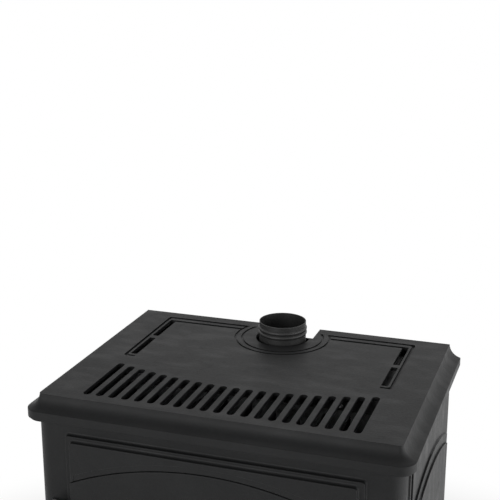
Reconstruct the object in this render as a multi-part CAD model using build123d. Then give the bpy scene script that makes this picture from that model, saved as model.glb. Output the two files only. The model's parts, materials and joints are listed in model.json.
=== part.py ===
from build123d import *
import os
from math import cos, radians, sin, sqrt, tan

# A free-standing pellet stove with a cast casing and a cast top that slides forward over the hopper.
# Millimetres. X to the right, Y to the back, Z up from the floor. The origin is under the middle of the
# stove's outer box. "Front" faces -Y.

# ---------------------------------------------------------------- overall sizes
TOP_HEIGHT = 800.0          # floor to the flat of the top
TOP_WIDTH = 555.8           # flat of the top, side to side
TOP_DEPTH = 406.9           # flat of the top, front to back
FIT = 0.3                   # gap between faces that only rest or pass
RUNNING = 0.05              # radial clearance of a pin or shaft in its bore
SLIDE = 0.4                 # gap round a sliding runner
PANEL_GAP = 1.5             # visible gap round the door and the drawer front

# ---------------------------------------------------------------- cast top
PLATE = 6.0
TOP_CORNER = 6.0            # plan corner of the flat
COVE_OUT = 18.4             # hollow edge moulding, outward
COVE_DROP = 21.6            # hollow edge moulding, downward
COVE_RADIUS = 24.0
LIP_OUT = 0.9               # lip face beyond the end of the hollow
LIP_ROUND = 3.5
LIP_DEPTH = 38.5            # top face to the bottom of the lip
LIP_GAP = 2.6               # lip to casing
EDGE_LAND = 5.0             # how far the edge moulding laps the flat
GRILLE_COUNT = 21
GRILLE_PITCH = 20.9
GRILLE_SLOT = 12.0
GRILLE_INSET = 19.6        # front ends of the slots, in from the front of the flat
GRILLE_LENGTH = 95.5        # middle slot
GRILLE_ARC = 641.0          # radius of the line through the back ends
SIDE_SLOT_X = 210.5
SIDE_SLOT_WIDTH = 11.0
SIDE_SLOT_LENGTH = 173.5    # both slots and the bridge
SIDE_SLOT_BRIDGE = 89.0     # middle of the bridge, ahead of the slots' back end
BRIDGE_WIDTH = 11.0
SIDE_SLOT_CORNER = 2.0
LEDGE_X = 224.5             # outer edge of the groove beside the side slots
LEDGE_WIDTH = 5.0           # groove beside the side slots
LEDGE_BACK = 22.45           # outer groove, in from the back edge
LEDGE_AHEAD = 10.0          # outer edge of the groove ahead of the side slots
LEDGE_CORNER = 5.0
PANEL_BACK = 37.8          # back ends of the side slots, in from the back edge
GROOVE_WIDTH = 6.5          # both grooves along the back
GROOVE_DEPTH = 3.0
RING_GAP = 27.5             # flue pipe to the inner line round the flue
RING_LINE = 4.0             # width of the two lines round the flue
RING_DEPTH = 1.8
RING_STEP = 11.5            # from line to line
NOTCH_GAP = 6.0             # flue pipe to the round of the notch
NOTCH_FLARE = 5.0           # straight notch beyond its round, each side
NOTCH_STEP = 8.0            # where the straight notch starts, behind the flue axis

# ---------------------------------------------------------------- casing
OVERHANG = 13.6             # lip face beyond the casing, front and sides
BACK_OVERHANG = 16.45
CASTING = 8.0               # wall of the cast panels
BODY_DROP = 26.0            # top face to the top of the casing
FRONT_CORNER = 25.0         # upright front corners
RETURN = 38.0               # how far the facade wraps round the side
BASE_TOP = 62.0
BASE_MIDDLE = 54.0
BASE_BOTTOM = 40.0
BASE_PROUD = 10.0
BASE_STEP = 4.0
BASE_EDGE = 3.0
BASE_FLOOR = 6.0
BASE_RIM = 40.0             # width of the base casting round its opening
DECK = 1.5
UPSTAND_GAP = 6.0           # edge turned up along the back of the deck, to the cast top
SHEET = 1.5
STEP_1 = 7.0                # first raised layer of the facade
STEP_2 = 7.0                # second raised layer
FIELD_1_SIDE = 8.0          # edge of the first layer beyond the door
FIELD_1_TOP = 57.0          # below the top face
FIELD_2_SIDE = 9.5          # edge of the second layer inside the first
FIELD_2_TOP = 64.5
FIELD_1_BOTTOM = 80.0       # above the floor
FIELD_2_BOTTOM = 90.0
FIELD_CORNER = 5.0
FIELD_COVE = 4.0            # hollow at the root of each layer
FIELD_ROUND = 1.5
JOINT_LINE = 3.0            # line where the facade meets the side panels
JOINT_DEPTH = 2.0
SIDE_BEAD = 5.0             # width of the two upright beads on each side
SIDE_BEAD_PROUD = 2.4
SIDE_BEAD_STEP = 23.0       # from bead to bead
SIDE_BEAD_AHEAD = 7.5       # front of the first bead, ahead of the end of the facade
SIDE_BEAD_ROUND = 1.0
SIDE_LAYER = 3.2            # step of each raised layer on the side
SIDE_ARC = 450.0
SIDE_ARC_Y = 197.4          # middle of the side arch, ahead of the casing's back
SIDE_ARC_PEAKS = (110.0, 126.0)
SIDE_LEG_INSET = 26.0       # upright line behind the facade's return
SIDE_LEG_BACK = 22.0        # upright line ahead of the back edge
SIDE_FOOT = 90.0
LOUVRE_ROWS = 6
LOUVRE_LOW = 90.0           # first row of the lower group, above the floor
LOUVRE_HIGH = 212.5         # first row of the upper group, below the deck
LOUVRE_X = 70.0             # middle of each column
LOUVRE_WIDTH = 120.0
LOUVRE_HEIGHT = 5.0
LOUVRE_PITCH = 14.0

# ---------------------------------------------------------------- door
DOOR_LAP = 27.0             # door over the edge of the opening
DOOR_BOTTOM = 226.0
DOOR_ARC = 530.0
DOOR_PEAK = 83.0            # top of the door below the top face
DOOR_RIM = 9.0              # shallow step above the door's arch
DOOR_RIM_DEPTH = 0.8
DOOR_CORNER = 4.0
DOOR_ROUND = 1.5
DOOR_SEAT = 0.5             # door frame to the facade
MOUTH_SIDE = 27.0           # opening in the facade, in from the firebox wall
MOUTH_INSET = 29.0          # door's arch to the opening's arch
MOUTH_BOTTOM = 252.0
WINDOW_SIDE = 64.0          # side of the door to the window
WINDOW_INSET = 60.0
WINDOW_BOTTOM = 290.0
WINDOW_BEVEL = 3.0
GLASS = 4.0
GLASS_LAP = 10.0
GLASS_GAP = 1.0
GASKET = 2.0                # flat gasket under the glass
GASKET_WIDTH = 8.0
ROPE_INSET = 16.0           # door edge to the middle of the rope
ROPE_WIDTH = 9.0
ROPE_DEPTH = 5.0
CLIP_WIDTH = 18.0
CLIP_LENGTH = 26.0
CLIP_THICK = 2.0
CLIP_SCREW = 2.5
HINGE_SIDE = 17.0           # side of the door to the hinge axis
HINGE_PROUD = 6.0           # hinge axis in front of the door's face
HINGE_TOP = 168.5           # top of the upper hinge below the top face
HINGE_LOW = 300.0           # top of the lower hinge above the floor
HINGE_EAR = 14.0
HINGE_KNUCKLE = 22.0
HINGE_RADIUS = 12.0
PIN_RADIUS = 5.0
PIN_HEAD = 8.0
PIN_HEAD_HEIGHT = 3.0
PAD_THICK = 4.0
PAD_WIDTH = 24.0
HANDLE_SIDE = 39.0          # side of the door to the spindle
HANDLE_Z = 450.0
HANDLE_REACH = 46.0         # door face to the front of the grip
SPINDLE_RADIUS = 6.0
BOSS_RADIUS = 13.0
BOSS_DEPTH = 10.0
ARM_WIDTH = 16.0
ARM_THICK = 7.0
GRIP_RADIUS = 9.0
GRIP_LENGTH = 88.0
GRIP_DROP = 22.0            # spindle to the top of the grip
CAM_THICK = 4.0
CAM_LENGTH = 30.0
CAM_WIDTH = 14.0
KEEPER_THICK = 3.0
KEEPER_SPAN = 20.0
KEEPER_LAP = 22.0

# ---------------------------------------------------------------- ash drawer
DRAWER_HALF = 170.0
DRAWER_BOTTOM = 100.0
DRAWER_TOP = 214.0
PAN_HALF = 162.0
PAN_HEIGHT = 104.0
PAN_SHEET = 1.2
PAN_LIFT = 4.0
KNOB_RADIUS = 14.0
KNOB_LENGTH = 26.0
KNOB_NECK = 6.0
RAIL_LEG = 14.0

# ---------------------------------------------------------------- fire side
FIREBOX_HALF = 222.0
FIREBOX_FLOOR = 222.0
MACHINE_DEPTH = 210.1       # firebox back to the casing's back: feed, fans and flue
ROOF_AIR = 72.5             # firebox roof to the deck
PLATE_STEEL = 3.0
ASH_SLOT_HALF = 150.0
ASH_SLOT_DEPTH = 32.0
ASH_SLOT_FRONT = 6.0
FIREBACK_SIDE = 17.0        # firebox wall to the fireback
FIREBACK_GAP = 12.0
FIREBACK_THICK = 14.0
FIREBACK_FOOT = 300.0
FIREBACK_DROP = 60.0        # firebox roof to the top of the fireback
SPACER = 50.0               # height of the two spacers behind the fireback
RIB_COUNT = 17
RIB_WIDTH = 8.0
RIB_DEPTH = 5.0
BAFFLE_THICK = 6.0
BAFFLE_DEPTH = 120.0
BAFFLE_LEG = 12.0           # baffle above the fireback
FIN_COUNT = 11
FIN_HEIGHT = 48.0
FIN_THICK = 2.0
AIR_GAP = 20.0              # warm-air duct behind the firebox
AIR_SHEET = 1.2
HOOD_INSET = 2.0
OUTLET_SIDE = 5.5           # firebox wall to the outlet
OUTLET_FRONT = 12.45        # behind the front of the firebox
OUTLET_BACK = 35.25         # ahead of its back
HOLDER_HALF = 68.0
HOLDER_BACK = 35.25         # ahead of the back of the firebox
HOLDER_DEPTH = 104.0
HOLDER_TOP = 284.0
HOLDER_WALL = 3.0
FEED_DEPTH = 50.0           # how far the side air duct runs along the seat
POT_HALF = 45.0
POT_BACK = 47.25            # ahead of the back of the firebox
POT_DEPTH = 78.0
POT_BOTTOM = 240.0
POT_TOP = 304.0
POT_WALL = 4.0
POT_RIM = 7.0
POT_RIM_THICK = 4.0
POT_HOLE = 2.5
POT_HOLE_ROWS = 4
POT_HOLE_COLUMNS = 5
IGNITER_X = -30.0
IGNITER_Z = 262.0
IGNITER_RADIUS = 5.0
IGNITER_CAP = 9.0
IGNITER_HOLE = 7.5
IGNITER_STAND = 2.0         # tip to the burn pot

# ---------------------------------------------------------------- flue
FLUE_RADIUS = 40.0
FLUE_WALL = 1.2
FLUE_GAP = 18.1            # flue pipe in from the back edge of the top
COLLAR_HEIGHT = 30.5        # above the top face
BEAD_COUNT = 2
BEAD_DROP = 11.5            # first bead below the rim
BEAD_PITCH = 7.5
BEAD_RADIUS = 4.0
BEAD_PROUD = 1.7
COLLAR_FLANGE = 17.0
FLANGE_THICK = 2.0
FAN_X_HALF = 28.0
FAN_OFFSET = 55.7           # fan axis ahead of the flue axis
FAN_Z = 262.0
FAN_RADIUS = 75.0
FAN_WALL = 2.5
FAN_OUTLET_TOP = 350.0
FAN_OUTLET_HALF = 27.5
FAN_EYE = 28.0
IMPELLER_RADIUS = 58.0
IMPELLER_WIDTH = 36.0
BLADE_COUNT = 12
BLADE_THICK = 2.0
SHAFT_RADIUS = 4.0
MOTOR_RADIUS = 35.0
MOTOR_LENGTH = 58.0
MOTOR_STAND = 6.0
POST_COUNT = 3
POST_RADIUS = 3.0
POST_CIRCLE = 28.0
SMOKE_BOX_WIDTH = 44.0
SMOKE_BOX_BOTTOM = 228.0
SMOKE_BOX_TOP = 298.0
SMOKE_WALL = 2.0

# ---------------------------------------------------------------- feed
HOPPER_LEFT = -205.0
HOPPER_RIGHT = 192.0
HOPPER_FRONT = 24.75        # behind the firebox
HOPPER_BACK = 9.35          # ahead of the casing's back
HOPPER_SHEET = 1.5
HOPPER_STRAIGHT = 52.5      # upright part of the hopper below the deck
THROAT_LEFT = -160.0
THROAT_RIGHT = -74.0
THROAT_HALF = 24.0
THROAT_Z = 482.0
TUNNEL_SIDE = 12.0          # flue pipe to the sides of the tunnel through the hopper
TUNNEL_GAP = 10.0           # and to its front
AUGER_BACK = 58.75          # auger axis behind the firebox
AUGER_LOW_X = -178.0
AUGER_HIGH_X = 38.0
AUGER_LOW_Z = 380.0
AUGER_SLOPE = 27.0          # degrees
AUGER_RADIUS = 30.0
AUGER_WALL = 2.0
AUGER_END = 4.0
SCREW_RADIUS = 25.0
SCREW_CORE = 8.0
SCREW_SHAFT = 5.0           # radius of the screw's two journals
DROP_HALF = 16.0            # drop hole below the tube, front to back
SCREW_PITCH = 40.0
SCREW_THICK = 3.0
GEARBOX = 50.0
GEARBOX_LENGTH = 42.0
GEAR_MOTOR_RADIUS = 20.0
GEAR_MOTOR_LENGTH = 32.0
CHUTE_HALF = 24.0
CHUTE_WALL = 1.5
CHUTE_BACK = 22.0           # chute behind the auger axis
CHUTE_FRONT = 28.0          # chute ahead of the auger axis
CHUTE_KNEE = 424.0
CHUTE_END = 37.25           # lower end, ahead of the back of the firebox
CHUTE_TALL = 50.0
GUARD_BARS = 9
GUARD_BAR = 2.0
GUARD_DROP = 40.0          # bars below the deck

# ---------------------------------------------------------------- warm-air fan
BLOWER_HALF = 150.0
BLOWER_BACK = 92.0          # behind the firebox
BLOWER_BOTTOM = 76.0
BLOWER_TOP = 168.0
BLOWER_SHEET = 1.5
BLOWER_FOOT = 20.0
WHEEL_RADIUS = 28.0
WHEEL_Z = 118.0
WHEEL_BLADES = 20
WHEEL_BLADE_DEPTH = 8.0
WHEEL_DISC = 2.0
WHEEL_BLADE_THICK = 1.0
BLOWER_MOTOR_RADIUS = 26.0
BLOWER_MOTOR_LENGTH = 40.0
INTAKE_X = -150.0
INTAKE_Z = 262.0
INTAKE_RADIUS = 25.0
INTAKE_WALL = 1.5
INTAKE_REACH = 30.0         # pipe beyond the back edge of the casing
INTAKE_STOP = 3.0           # ring that stops the hose, thick and proud of the pipe

# ---------------------------------------------------------------- electrics
BOX_LEFT = 205.0
BOX_WIDTH = 62.0
BOX_FRONT = 24.0
BOX_DEPTH = 140.0
BOX_BOTTOM = 130.0
BOX_HEIGHT = 130.0
BOX_WALL = 2.5
SWITCH_RADIUS = 20.0
SWITCH_DEPTH = 16.0
NOZZLE_RADIUS = 3.0
NOZZLE_LENGTH = 10.0
CONSOLE_LEFT = 197.0
CONSOLE_WIDTH = 42.0
CONSOLE_FRONT = 20.0
CONSOLE_LENGTH = 150.0
CONSOLE_HEIGHT = 8.0
CONSOLE_ROUND = 3.0
DISPLAY_LENGTH = 46.0
DISPLAY_WIDTH = 24.0
DISPLAY_THICK = 1.5
BUTTON_NAMES = ("button_power", "button_down", "button_up")
BUTTON_RADIUS = 7.0
BUTTON_HEIGHT = 4.0
BUTTON_PROUD = 2.0
BUTTON_PITCH = 24.0
BUTTON_FIRST = 24.0
INLET_X = 214.0
INLET_Z = 96.0
INLET_WIDTH = 58.0
INLET_HEIGHT = 30.0
INLET_DEPTH = 28.0
INLET_FACE = 3.0
SOCKET_WIDTH = 24.0
SOCKET_HEIGHT = 17.0
SOCKET_DEPTH = 16.0
ROCKER_WIDTH = 13.0
ROCKER_HEIGHT = 19.0
ROCKER_DEPTH = 8.0
ROCKER_TILT = 10.0

# ---------------------------------------------------------------- rails, feet and screws
TRACK_X = 253.0
TRACK_WIDTH = 20.0
TRACK_HEIGHT = 12.0
TRACK_WALL = 2.0
STEM_WIDTH = 6.0
TRACK_INSET = 19.0
FOOT_X = 252.0
FOOT_INSET = 32.0
FOOT_RADIUS = 22.0
FOOT_PAD = 10.0
FOOT_ROUND = 2.0
STUD_RADIUS = 5.0
STUD_TOP = 58.0
SCREW_HEAD = 4.5
SCREW_HEAD_HEIGHT = 2.5
DECK_SCREW_INSET = 6.0      # deck screws from the inside of the side panels
DECK_SCREW_Y = 48.0         # and from the front and the back of the casing
DUCT_SCREW_X = 152.0
DUCT_SCREW_Y = 24.25        # ahead of the back of the firebox
FLANGE_SCREWS = 3

# ---------------------------------------------------------------- planes worked out from those sizes
EDGE_OUT = COVE_OUT + LIP_OUT
FRONT_REACH = TOP_DEPTH / 2 + EDGE_OUT - OVERHANG + STEP_1 + STEP_2 + HANDLE_REACH
BACK_REACH = TOP_DEPTH / 2 - BACK_OVERHANG + INTAKE_REACH
TOP_Y = (FRONT_REACH - BACK_REACH) / 2                      # middle of the flat of the top
TOP_FRONT = TOP_Y - TOP_DEPTH / 2
TOP_BACK = TOP_Y + TOP_DEPTH / 2
BODY_HALF = TOP_WIDTH / 2 + EDGE_OUT - OVERHANG
BODY_INNER = BODY_HALF - CASTING
MOUTH_HALF = FIREBOX_HALF - MOUTH_SIDE
DOOR_HALF = MOUTH_HALF + DOOR_LAP
WINDOW_HALF = DOOR_HALF - WINDOW_SIDE
HINGE_X = -DOOR_HALF - HINGE_SIDE
HANDLE_X = DOOR_HALF - HANDLE_SIDE
FIELD_1_HALF = DOOR_HALF + FIELD_1_SIDE
FIELD_2_HALF = FIELD_1_HALF - FIELD_2_SIDE
FIREBACK_HALF = FIREBOX_HALF - FIREBACK_SIDE
OUTLET_HALF = FIREBOX_HALF - OUTLET_SIDE
FACADE_Y = TOP_FRONT - EDGE_OUT + OVERHANG
FACADE_BACK = FACADE_Y + CASTING
LAYER_1_Y = FACADE_Y - STEP_1
FACE_Y = LAYER_1_Y - STEP_2                                 # door and drawer faces
RETURN_Y = FACADE_Y + RETURN
BODY_BACK = TOP_BACK - BACK_OVERHANG
BODY_TOP = TOP_HEIGHT - BODY_DROP
DECK_BOTTOM = BODY_TOP - DECK
REAR_INNER = BODY_BACK - SHEET - FIT
ARC_CENTRE_Z = TOP_HEIGHT - DOOR_PEAK - DOOR_ARC
HINGE_Y = FACE_Y - HINGE_PROUD
DOOR_BACK = FACADE_Y - DOOR_SEAT
FIREBOX_FRONT = FACADE_BACK + FIT
FIREBOX_BACK = BODY_BACK - MACHINE_DEPTH
FIREBOX_ROOF = DECK_BOTTOM - ROOF_AIR
FIREBACK_TOP = FIREBOX_ROOF - FIREBACK_DROP
HOLDER_BACK_Y = FIREBOX_BACK - HOLDER_BACK
POT_BACK_Y = FIREBOX_BACK - POT_BACK
CHUTE_END_Y = FIREBOX_BACK - CHUTE_END
DUCT_BACK = FIREBOX_BACK + AIR_GAP
GRILLE_Y = TOP_FRONT + GRILLE_INSET
PANEL_Y = TOP_BACK - PANEL_BACK
FLUE_Y = TOP_BACK - FLUE_GAP - FLUE_RADIUS
RING_INNER = FLUE_RADIUS + RING_GAP
RING_OUTER = RING_INNER + RING_STEP + RING_LINE
NOTCH_RADIUS = FLUE_RADIUS + NOTCH_GAP
NOTCH_HALF = NOTCH_RADIUS + NOTCH_FLARE
TUNNEL_HALF = FLUE_RADIUS + TUNNEL_SIDE
AUGER_Y = FIREBOX_BACK + AUGER_BACK
HOPPER_Y0 = FIREBOX_BACK + HOPPER_FRONT
HOPPER_Y1 = BODY_BACK - HOPPER_BACK
HOPPER_SLOPE_TOP = DECK_BOTTOM - HOPPER_STRAIGHT
AUGER_LENGTH = (AUGER_HIGH_X - AUGER_LOW_X) / cos(radians(AUGER_SLOPE))
FAN_Y = FLUE_Y - FAN_OFFSET
WHEEL_Y = FIREBOX_BACK + BLOWER_BACK / 2 + FIT
CONSOLE_X = CONSOLE_LEFT + CONSOLE_WIDTH / 2
HANDLE_BAR_Y = FACE_Y - HANDLE_REACH + GRIP_RADIUS


# ---------------------------------------------------------------- helpers
def block(x0, x1, y0, y1, z0, z1):
    """A box from its low and high limits."""
    return Pos((x0 + x1) / 2, (y0 + y1) / 2, (z0 + z1) / 2) * Box(x1 - x0, y1 - y0, z1 - z0)


def rod_x(radius, x0, x1, y, z):
    return Pos((x0 + x1) / 2, y, z) * Rot(0, 90, 0) * Cylinder(radius, x1 - x0)


def rod_y(radius, y0, y1, x, z):
    return Pos(x, (y0 + y1) / 2, z) * Rot(90, 0, 0) * Cylinder(radius, y1 - y0)


def rod_z(radius, z0, z1, x, y):
    return Pos(x, y, (z0 + z1) / 2) * Cylinder(radius, z1 - z0)


def prism_x(points, x0, x1):
    """A side outline of (y, z) points, extruded from x0 to x1."""
    outline = make_face(Plane.YZ.offset(x0) * Polyline(*points, close=True))
    return extrude(outline, x1 - x0, dir=(1, 0, 0))


def prism_y(points, y0, y1):
    """A front outline of (x, z) points, extruded from y0 to y1."""
    outline = make_face(Plane.XZ.offset(-y1) * Polyline(*points, close=True))
    return extrude(outline, y1 - y0, dir=(0, -1, 0))


def group(solids):
    """Separate solids kept in one node."""
    return Compound(children=list(solids))


def arch_height(inset, half_width):
    """Height at which the door's arch, moved in by inset, meets a half width."""
    radius = DOOR_ARC - inset
    return ARC_CENTRE_Z + sqrt(radius * radius - half_width * half_width)


def arch_slab(half_width, bottom, inset, y_front, y_back):
    """An upright slab with straight sides and the door's arched top."""
    shoulder = arch_height(inset, half_width)
    crown = ARC_CENTRE_Z + DOOR_ARC - inset
    edges = [
        Line((-half_width, bottom), (half_width, bottom)),
        Line((half_width, bottom), (half_width, shoulder)),
        ThreePointArc((half_width, shoulder), (0, crown), (-half_width, shoulder)),
        Line((-half_width, shoulder), (-half_width, bottom)),
    ]
    face = make_face([Plane.XZ.offset(-y_back) * edge for edge in edges])
    return extrude(face, y_back - y_front, dir=(0, -1, 0))


def upright_edges(shape):
    return shape.edges().filter_by(Axis.Z)


def depth_edges(shape):
    return shape.edges().filter_by(Axis.Y)


def screw_up(x, y, z):
    """A pan head on an upward face."""
    head = rod_z(SCREW_HEAD, z, z + SCREW_HEAD_HEIGHT, x, y)
    return fillet(head.edges().group_by(Axis.Z)[-1], SCREW_HEAD_HEIGHT / 2)


def screw_back(x, y, z):
    """A pan head on a face that looks to the back."""
    head = rod_y(SCREW_HEAD, y, y + SCREW_HEAD_HEIGHT, x, z)
    return fillet(head.edges().group_by(Axis.Y)[-1], SCREW_HEAD_HEIGHT / 2)


# ---------------------------------------------------------------- sliding top
def moulded_edge():
    """Hollow moulding and lip, run round the left, the front and the right."""
    half = TOP_WIDTH / 2
    path = FilletPolyline(
        (-half, TOP_BACK, TOP_HEIGHT),
        (-half, TOP_FRONT, TOP_HEIGHT),
        (half, TOP_FRONT, TOP_HEIGHT),
        (half, TOP_BACK, TOP_HEIGHT),
        radius=TOP_CORNER,
    )
    inner = EDGE_OUT - OVERHANG + LIP_GAP
    soffit = -BODY_DROP - LIP_GAP / 2
    section = [
        Line((-EDGE_LAND, -PLATE), (-EDGE_LAND, 0)),
        Line((-EDGE_LAND, 0), (0, 0)),
        RadiusArc((0, 0), (COVE_OUT, -COVE_DROP), -COVE_RADIUS),
        Line((COVE_OUT, -COVE_DROP), (EDGE_OUT, -COVE_DROP - LIP_OUT)),
        Line((EDGE_OUT, -COVE_DROP - LIP_OUT), (EDGE_OUT, LIP_ROUND - LIP_DEPTH)),
        RadiusArc((EDGE_OUT, LIP_ROUND - LIP_DEPTH), (EDGE_OUT - LIP_ROUND, -LIP_DEPTH), -LIP_ROUND),
        Line((EDGE_OUT - LIP_ROUND, -LIP_DEPTH), (inner, -LIP_DEPTH)),
        Line((inner, -LIP_DEPTH), (inner, soffit)),
        Line((inner, soffit), (-EDGE_LAND, -PLATE)),
    ]
    start = Plane(origin=(-half, TOP_BACK, TOP_HEIGHT), x_dir=(-1, 0, 0), z_dir=(0, 1, 0))
    return sweep(make_face([start * edge for edge in section]), path)


def grille_cut():
    """Slots whose back ends lie on an arc."""
    radius = GRILLE_SLOT / 2
    cuts = []
    for number in range(GRILLE_COUNT):
        x = (number - (GRILLE_COUNT - 1) / 2) * GRILLE_PITCH
        front = GRILLE_Y + radius
        back = GRILLE_Y + GRILLE_LENGTH + GRILLE_ARC - sqrt(GRILLE_ARC**2 - x * x) - radius
        low = TOP_HEIGHT - 2 * PLATE
        high = TOP_HEIGHT + PLATE
        cuts.append(block(x - radius, x + radius, front, back, low, high))
        cuts.append(rod_z(radius, low, high, x, front))
        cuts.append(rod_z(radius, low, high, x, back))
    return cuts


def side_slot_cut():
    """Two slots in line on each side, with a bridge between."""
    half = SIDE_SLOT_WIDTH / 2
    bridge = PANEL_Y - SIDE_SLOT_BRIDGE
    spans = (
        (PANEL_Y - SIDE_SLOT_LENGTH, bridge - BRIDGE_WIDTH / 2),
        (bridge + BRIDGE_WIDTH / 2, PANEL_Y),
    )
    cuts = []
    for side in (-1, 1):
        x = side * SIDE_SLOT_X
        for front_end, back_end in spans:
            slot = block(x - half, x + half, front_end, back_end, TOP_HEIGHT - 2 * PLATE, TOP_HEIGHT + PLATE)
            cuts.append(fillet(upright_edges(slot), SIDE_SLOT_CORNER))
    return cuts


def ledge_outline(side_inset, end_inset):
    """Rounded outline round the side slots and the back of the middle panel."""
    half = LEDGE_X - side_inset
    front = PANEL_Y - SIDE_SLOT_LENGTH - LEDGE_AHEAD + side_inset
    back = TOP_BACK - LEDGE_BACK - end_inset
    outline = block(-half, half, front, back, TOP_HEIGHT - GROOVE_DEPTH, TOP_HEIGHT + PLATE)
    return fillet(upright_edges(outline), LEDGE_CORNER)


def groove_cut():
    """Groove round the side slots and along the back, and a second one behind the middle panel."""
    low, high = TOP_HEIGHT - GROOVE_DEPTH, TOP_HEIGHT + PLATE
    panel_half = SIDE_SLOT_X - SIDE_SLOT_WIDTH / 2
    panel = block(-panel_half, panel_half, TOP_FRONT, PANEL_Y, low, high)
    outer = ledge_outline(0, 0) - ledge_outline(LEDGE_WIDTH, GROOVE_WIDTH) - panel
    reach = SIDE_SLOT_X
    inner = block(-reach, reach, PANEL_Y - GROOVE_WIDTH, PANEL_Y, low, high)
    return outer + inner - rod_z(RING_OUTER, TOP_HEIGHT - PLATE, TOP_HEIGHT + PLATE, 0, FLUE_Y)


def ring_cut():
    """Two lines round the flue, ending at the outer groove."""
    low, high = TOP_HEIGHT - RING_DEPTH, TOP_HEIGHT + PLATE
    lines = []
    for radius in (RING_INNER, RING_OUTER - RING_LINE):
        lines.append(rod_z(radius + RING_LINE, low, high, 0, FLUE_Y) - rod_z(radius, low, high, 0, FLUE_Y))
    back = TOP_BACK - LEDGE_BACK
    return group(lines) & block(-RING_OUTER, RING_OUTER, FLUE_Y - RING_OUTER, back, low, high)


def top_plate():
    half = TOP_WIDTH / 2
    flat = block(-half, half, TOP_FRONT, TOP_BACK, TOP_HEIGHT - PLATE, TOP_HEIGHT)
    front_edges = upright_edges(flat).sort_by(Axis.Y)[:2]
    flat = fillet(front_edges, TOP_CORNER)
    low = TOP_HEIGHT - 2 * PLATE
    high = TOP_HEIGHT + PLATE
    notch = rod_z(NOTCH_RADIUS, low, high, 0, FLUE_Y)
    notch += block(-NOTCH_HALF, NOTCH_HALF, FLUE_Y + NOTCH_STEP, TOP_BACK + PLATE, low, high)
    plate = flat + moulded_edge()
    plate -= groove_cut()
    plate -= ring_cut()
    plate = plate - grille_cut() - side_slot_cut() - notch
    return plate


def track_limits():
    return TOP_Y - TOP_DEPTH / 2 + TRACK_INSET, TOP_BACK - TRACK_INSET


def top_rails():
    """Two channels on the deck, open upwards through a slit."""
    front, back = track_limits()
    slit = STEM_WIDTH / 2 + SLIDE
    rails = []
    for side in (-1, 1):
        x = side * TRACK_X
        half = TRACK_WIDTH / 2
        rail = block(x - half, x + half, front, back, BODY_TOP, BODY_TOP + TRACK_HEIGHT)
        inner = half - TRACK_WALL
        low, high = BODY_TOP + TRACK_WALL, BODY_TOP + TRACK_HEIGHT
        rail -= block(x - inner, x + inner, front - FIT, back + FIT, low, high - TRACK_WALL)
        rail -= block(x - slit, x + slit, front - FIT, back + FIT, low, high + FIT)
        rails.append(rail)
    return group(rails)


def top_runners():
    """Two T bars under the top, running in the channels."""
    front, back = track_limits()
    runners = []
    for side in (-1, 1):
        x = side * TRACK_X
        head = TRACK_WIDTH / 2 - TRACK_WALL - SLIDE
        low = BODY_TOP + TRACK_WALL + SLIDE
        high = BODY_TOP + TRACK_HEIGHT - TRACK_WALL - SLIDE
        bar = block(x - head, x + head, front, back, low, high)
        bar += block(x - STEM_WIDTH / 2, x + STEM_WIDTH / 2, front, back, low, TOP_HEIGHT - PLATE)
        runners.append(bar)
    return group(runners)


# ---------------------------------------------------------------- casing
def base_plate():
    """Cast base with a stepped edge and an open middle."""
    lower_half = BODY_HALF + BASE_PROUD
    upper_half = lower_half - BASE_STEP
    front = FACADE_Y - BASE_PROUD
    lower = block(-lower_half, lower_half, front, BODY_BACK, BASE_BOTTOM, BASE_MIDDLE)
    lower = fillet(upright_edges(lower).sort_by(Axis.Y)[:2], FRONT_CORNER + BASE_PROUD)
    lower = fillet(lower.edges().group_by(Axis.Z)[0], BASE_EDGE)
    upper = block(-upper_half, upper_half, front + BASE_STEP, BODY_BACK, BASE_MIDDLE, BASE_TOP)
    upper = fillet(upright_edges(upper).sort_by(Axis.Y)[:2], FRONT_CORNER + BASE_PROUD - BASE_STEP)
    inner_half = BODY_INNER - BASE_RIM
    opening = block(
        -inner_half,
        inner_half,
        FACADE_BACK + BASE_RIM,
        BODY_BACK - BASE_RIM,
        BASE_BOTTOM - FIT,
        BASE_TOP - BASE_FLOOR,
    )
    base = lower + upper - opening
    for x, y in foot_places():
        base -= rod_z(STUD_RADIUS + FIT, BASE_BOTTOM - FIT, STUD_TOP + FIT, x, y)
    return base


def foot_places():
    front = FACADE_Y + FOOT_INSET
    back = BODY_BACK - FOOT_INSET
    return [(x, y) for x in (-FOOT_X, FOOT_X) for y in (front, back)]


def levelling_feet():
    feet = []
    for x, y in foot_places():
        pad = rod_z(FOOT_RADIUS, 0, FOOT_PAD, x, y)
        pad = fillet(pad.edges().group_by(Axis.Z)[-1], FOOT_ROUND)
        nut = rod_z(2 * STUD_RADIUS, BASE_BOTTOM - FOOT_PAD, BASE_BOTTOM - FIT, x, y)
        feet.append(pad + rod_z(STUD_RADIUS, FOOT_PAD, STUD_TOP, x, y) + nut)
    return group(feet)


def outline_edges(shape, y, half_width, bottom, top):
    """Edges in the upright plane at y that lie on or inside an outline."""
    return ShapeList(
        edge
        for edge in shape.edges()
        if abs(edge.center().Y - y) < FIT
        and abs(edge.center().X) < half_width + FIT
        and bottom - FIT < edge.center().Z < top + FIT
    )


def raised_layer(casting, half_width, bottom, top, y_front, y_root):
    """Adds a rounded slab to the casting, with a hollow at its root."""
    layer = block(-half_width, half_width, y_front, FACADE_BACK, bottom, top)
    layer = fillet(depth_edges(layer), FIELD_CORNER)
    layer = fillet(layer.edges().group_by(Axis.Y)[0], FIELD_ROUND)
    casting += layer
    return fillet(outline_edges(casting, y_root, half_width, bottom, top), FIELD_COVE)


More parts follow.
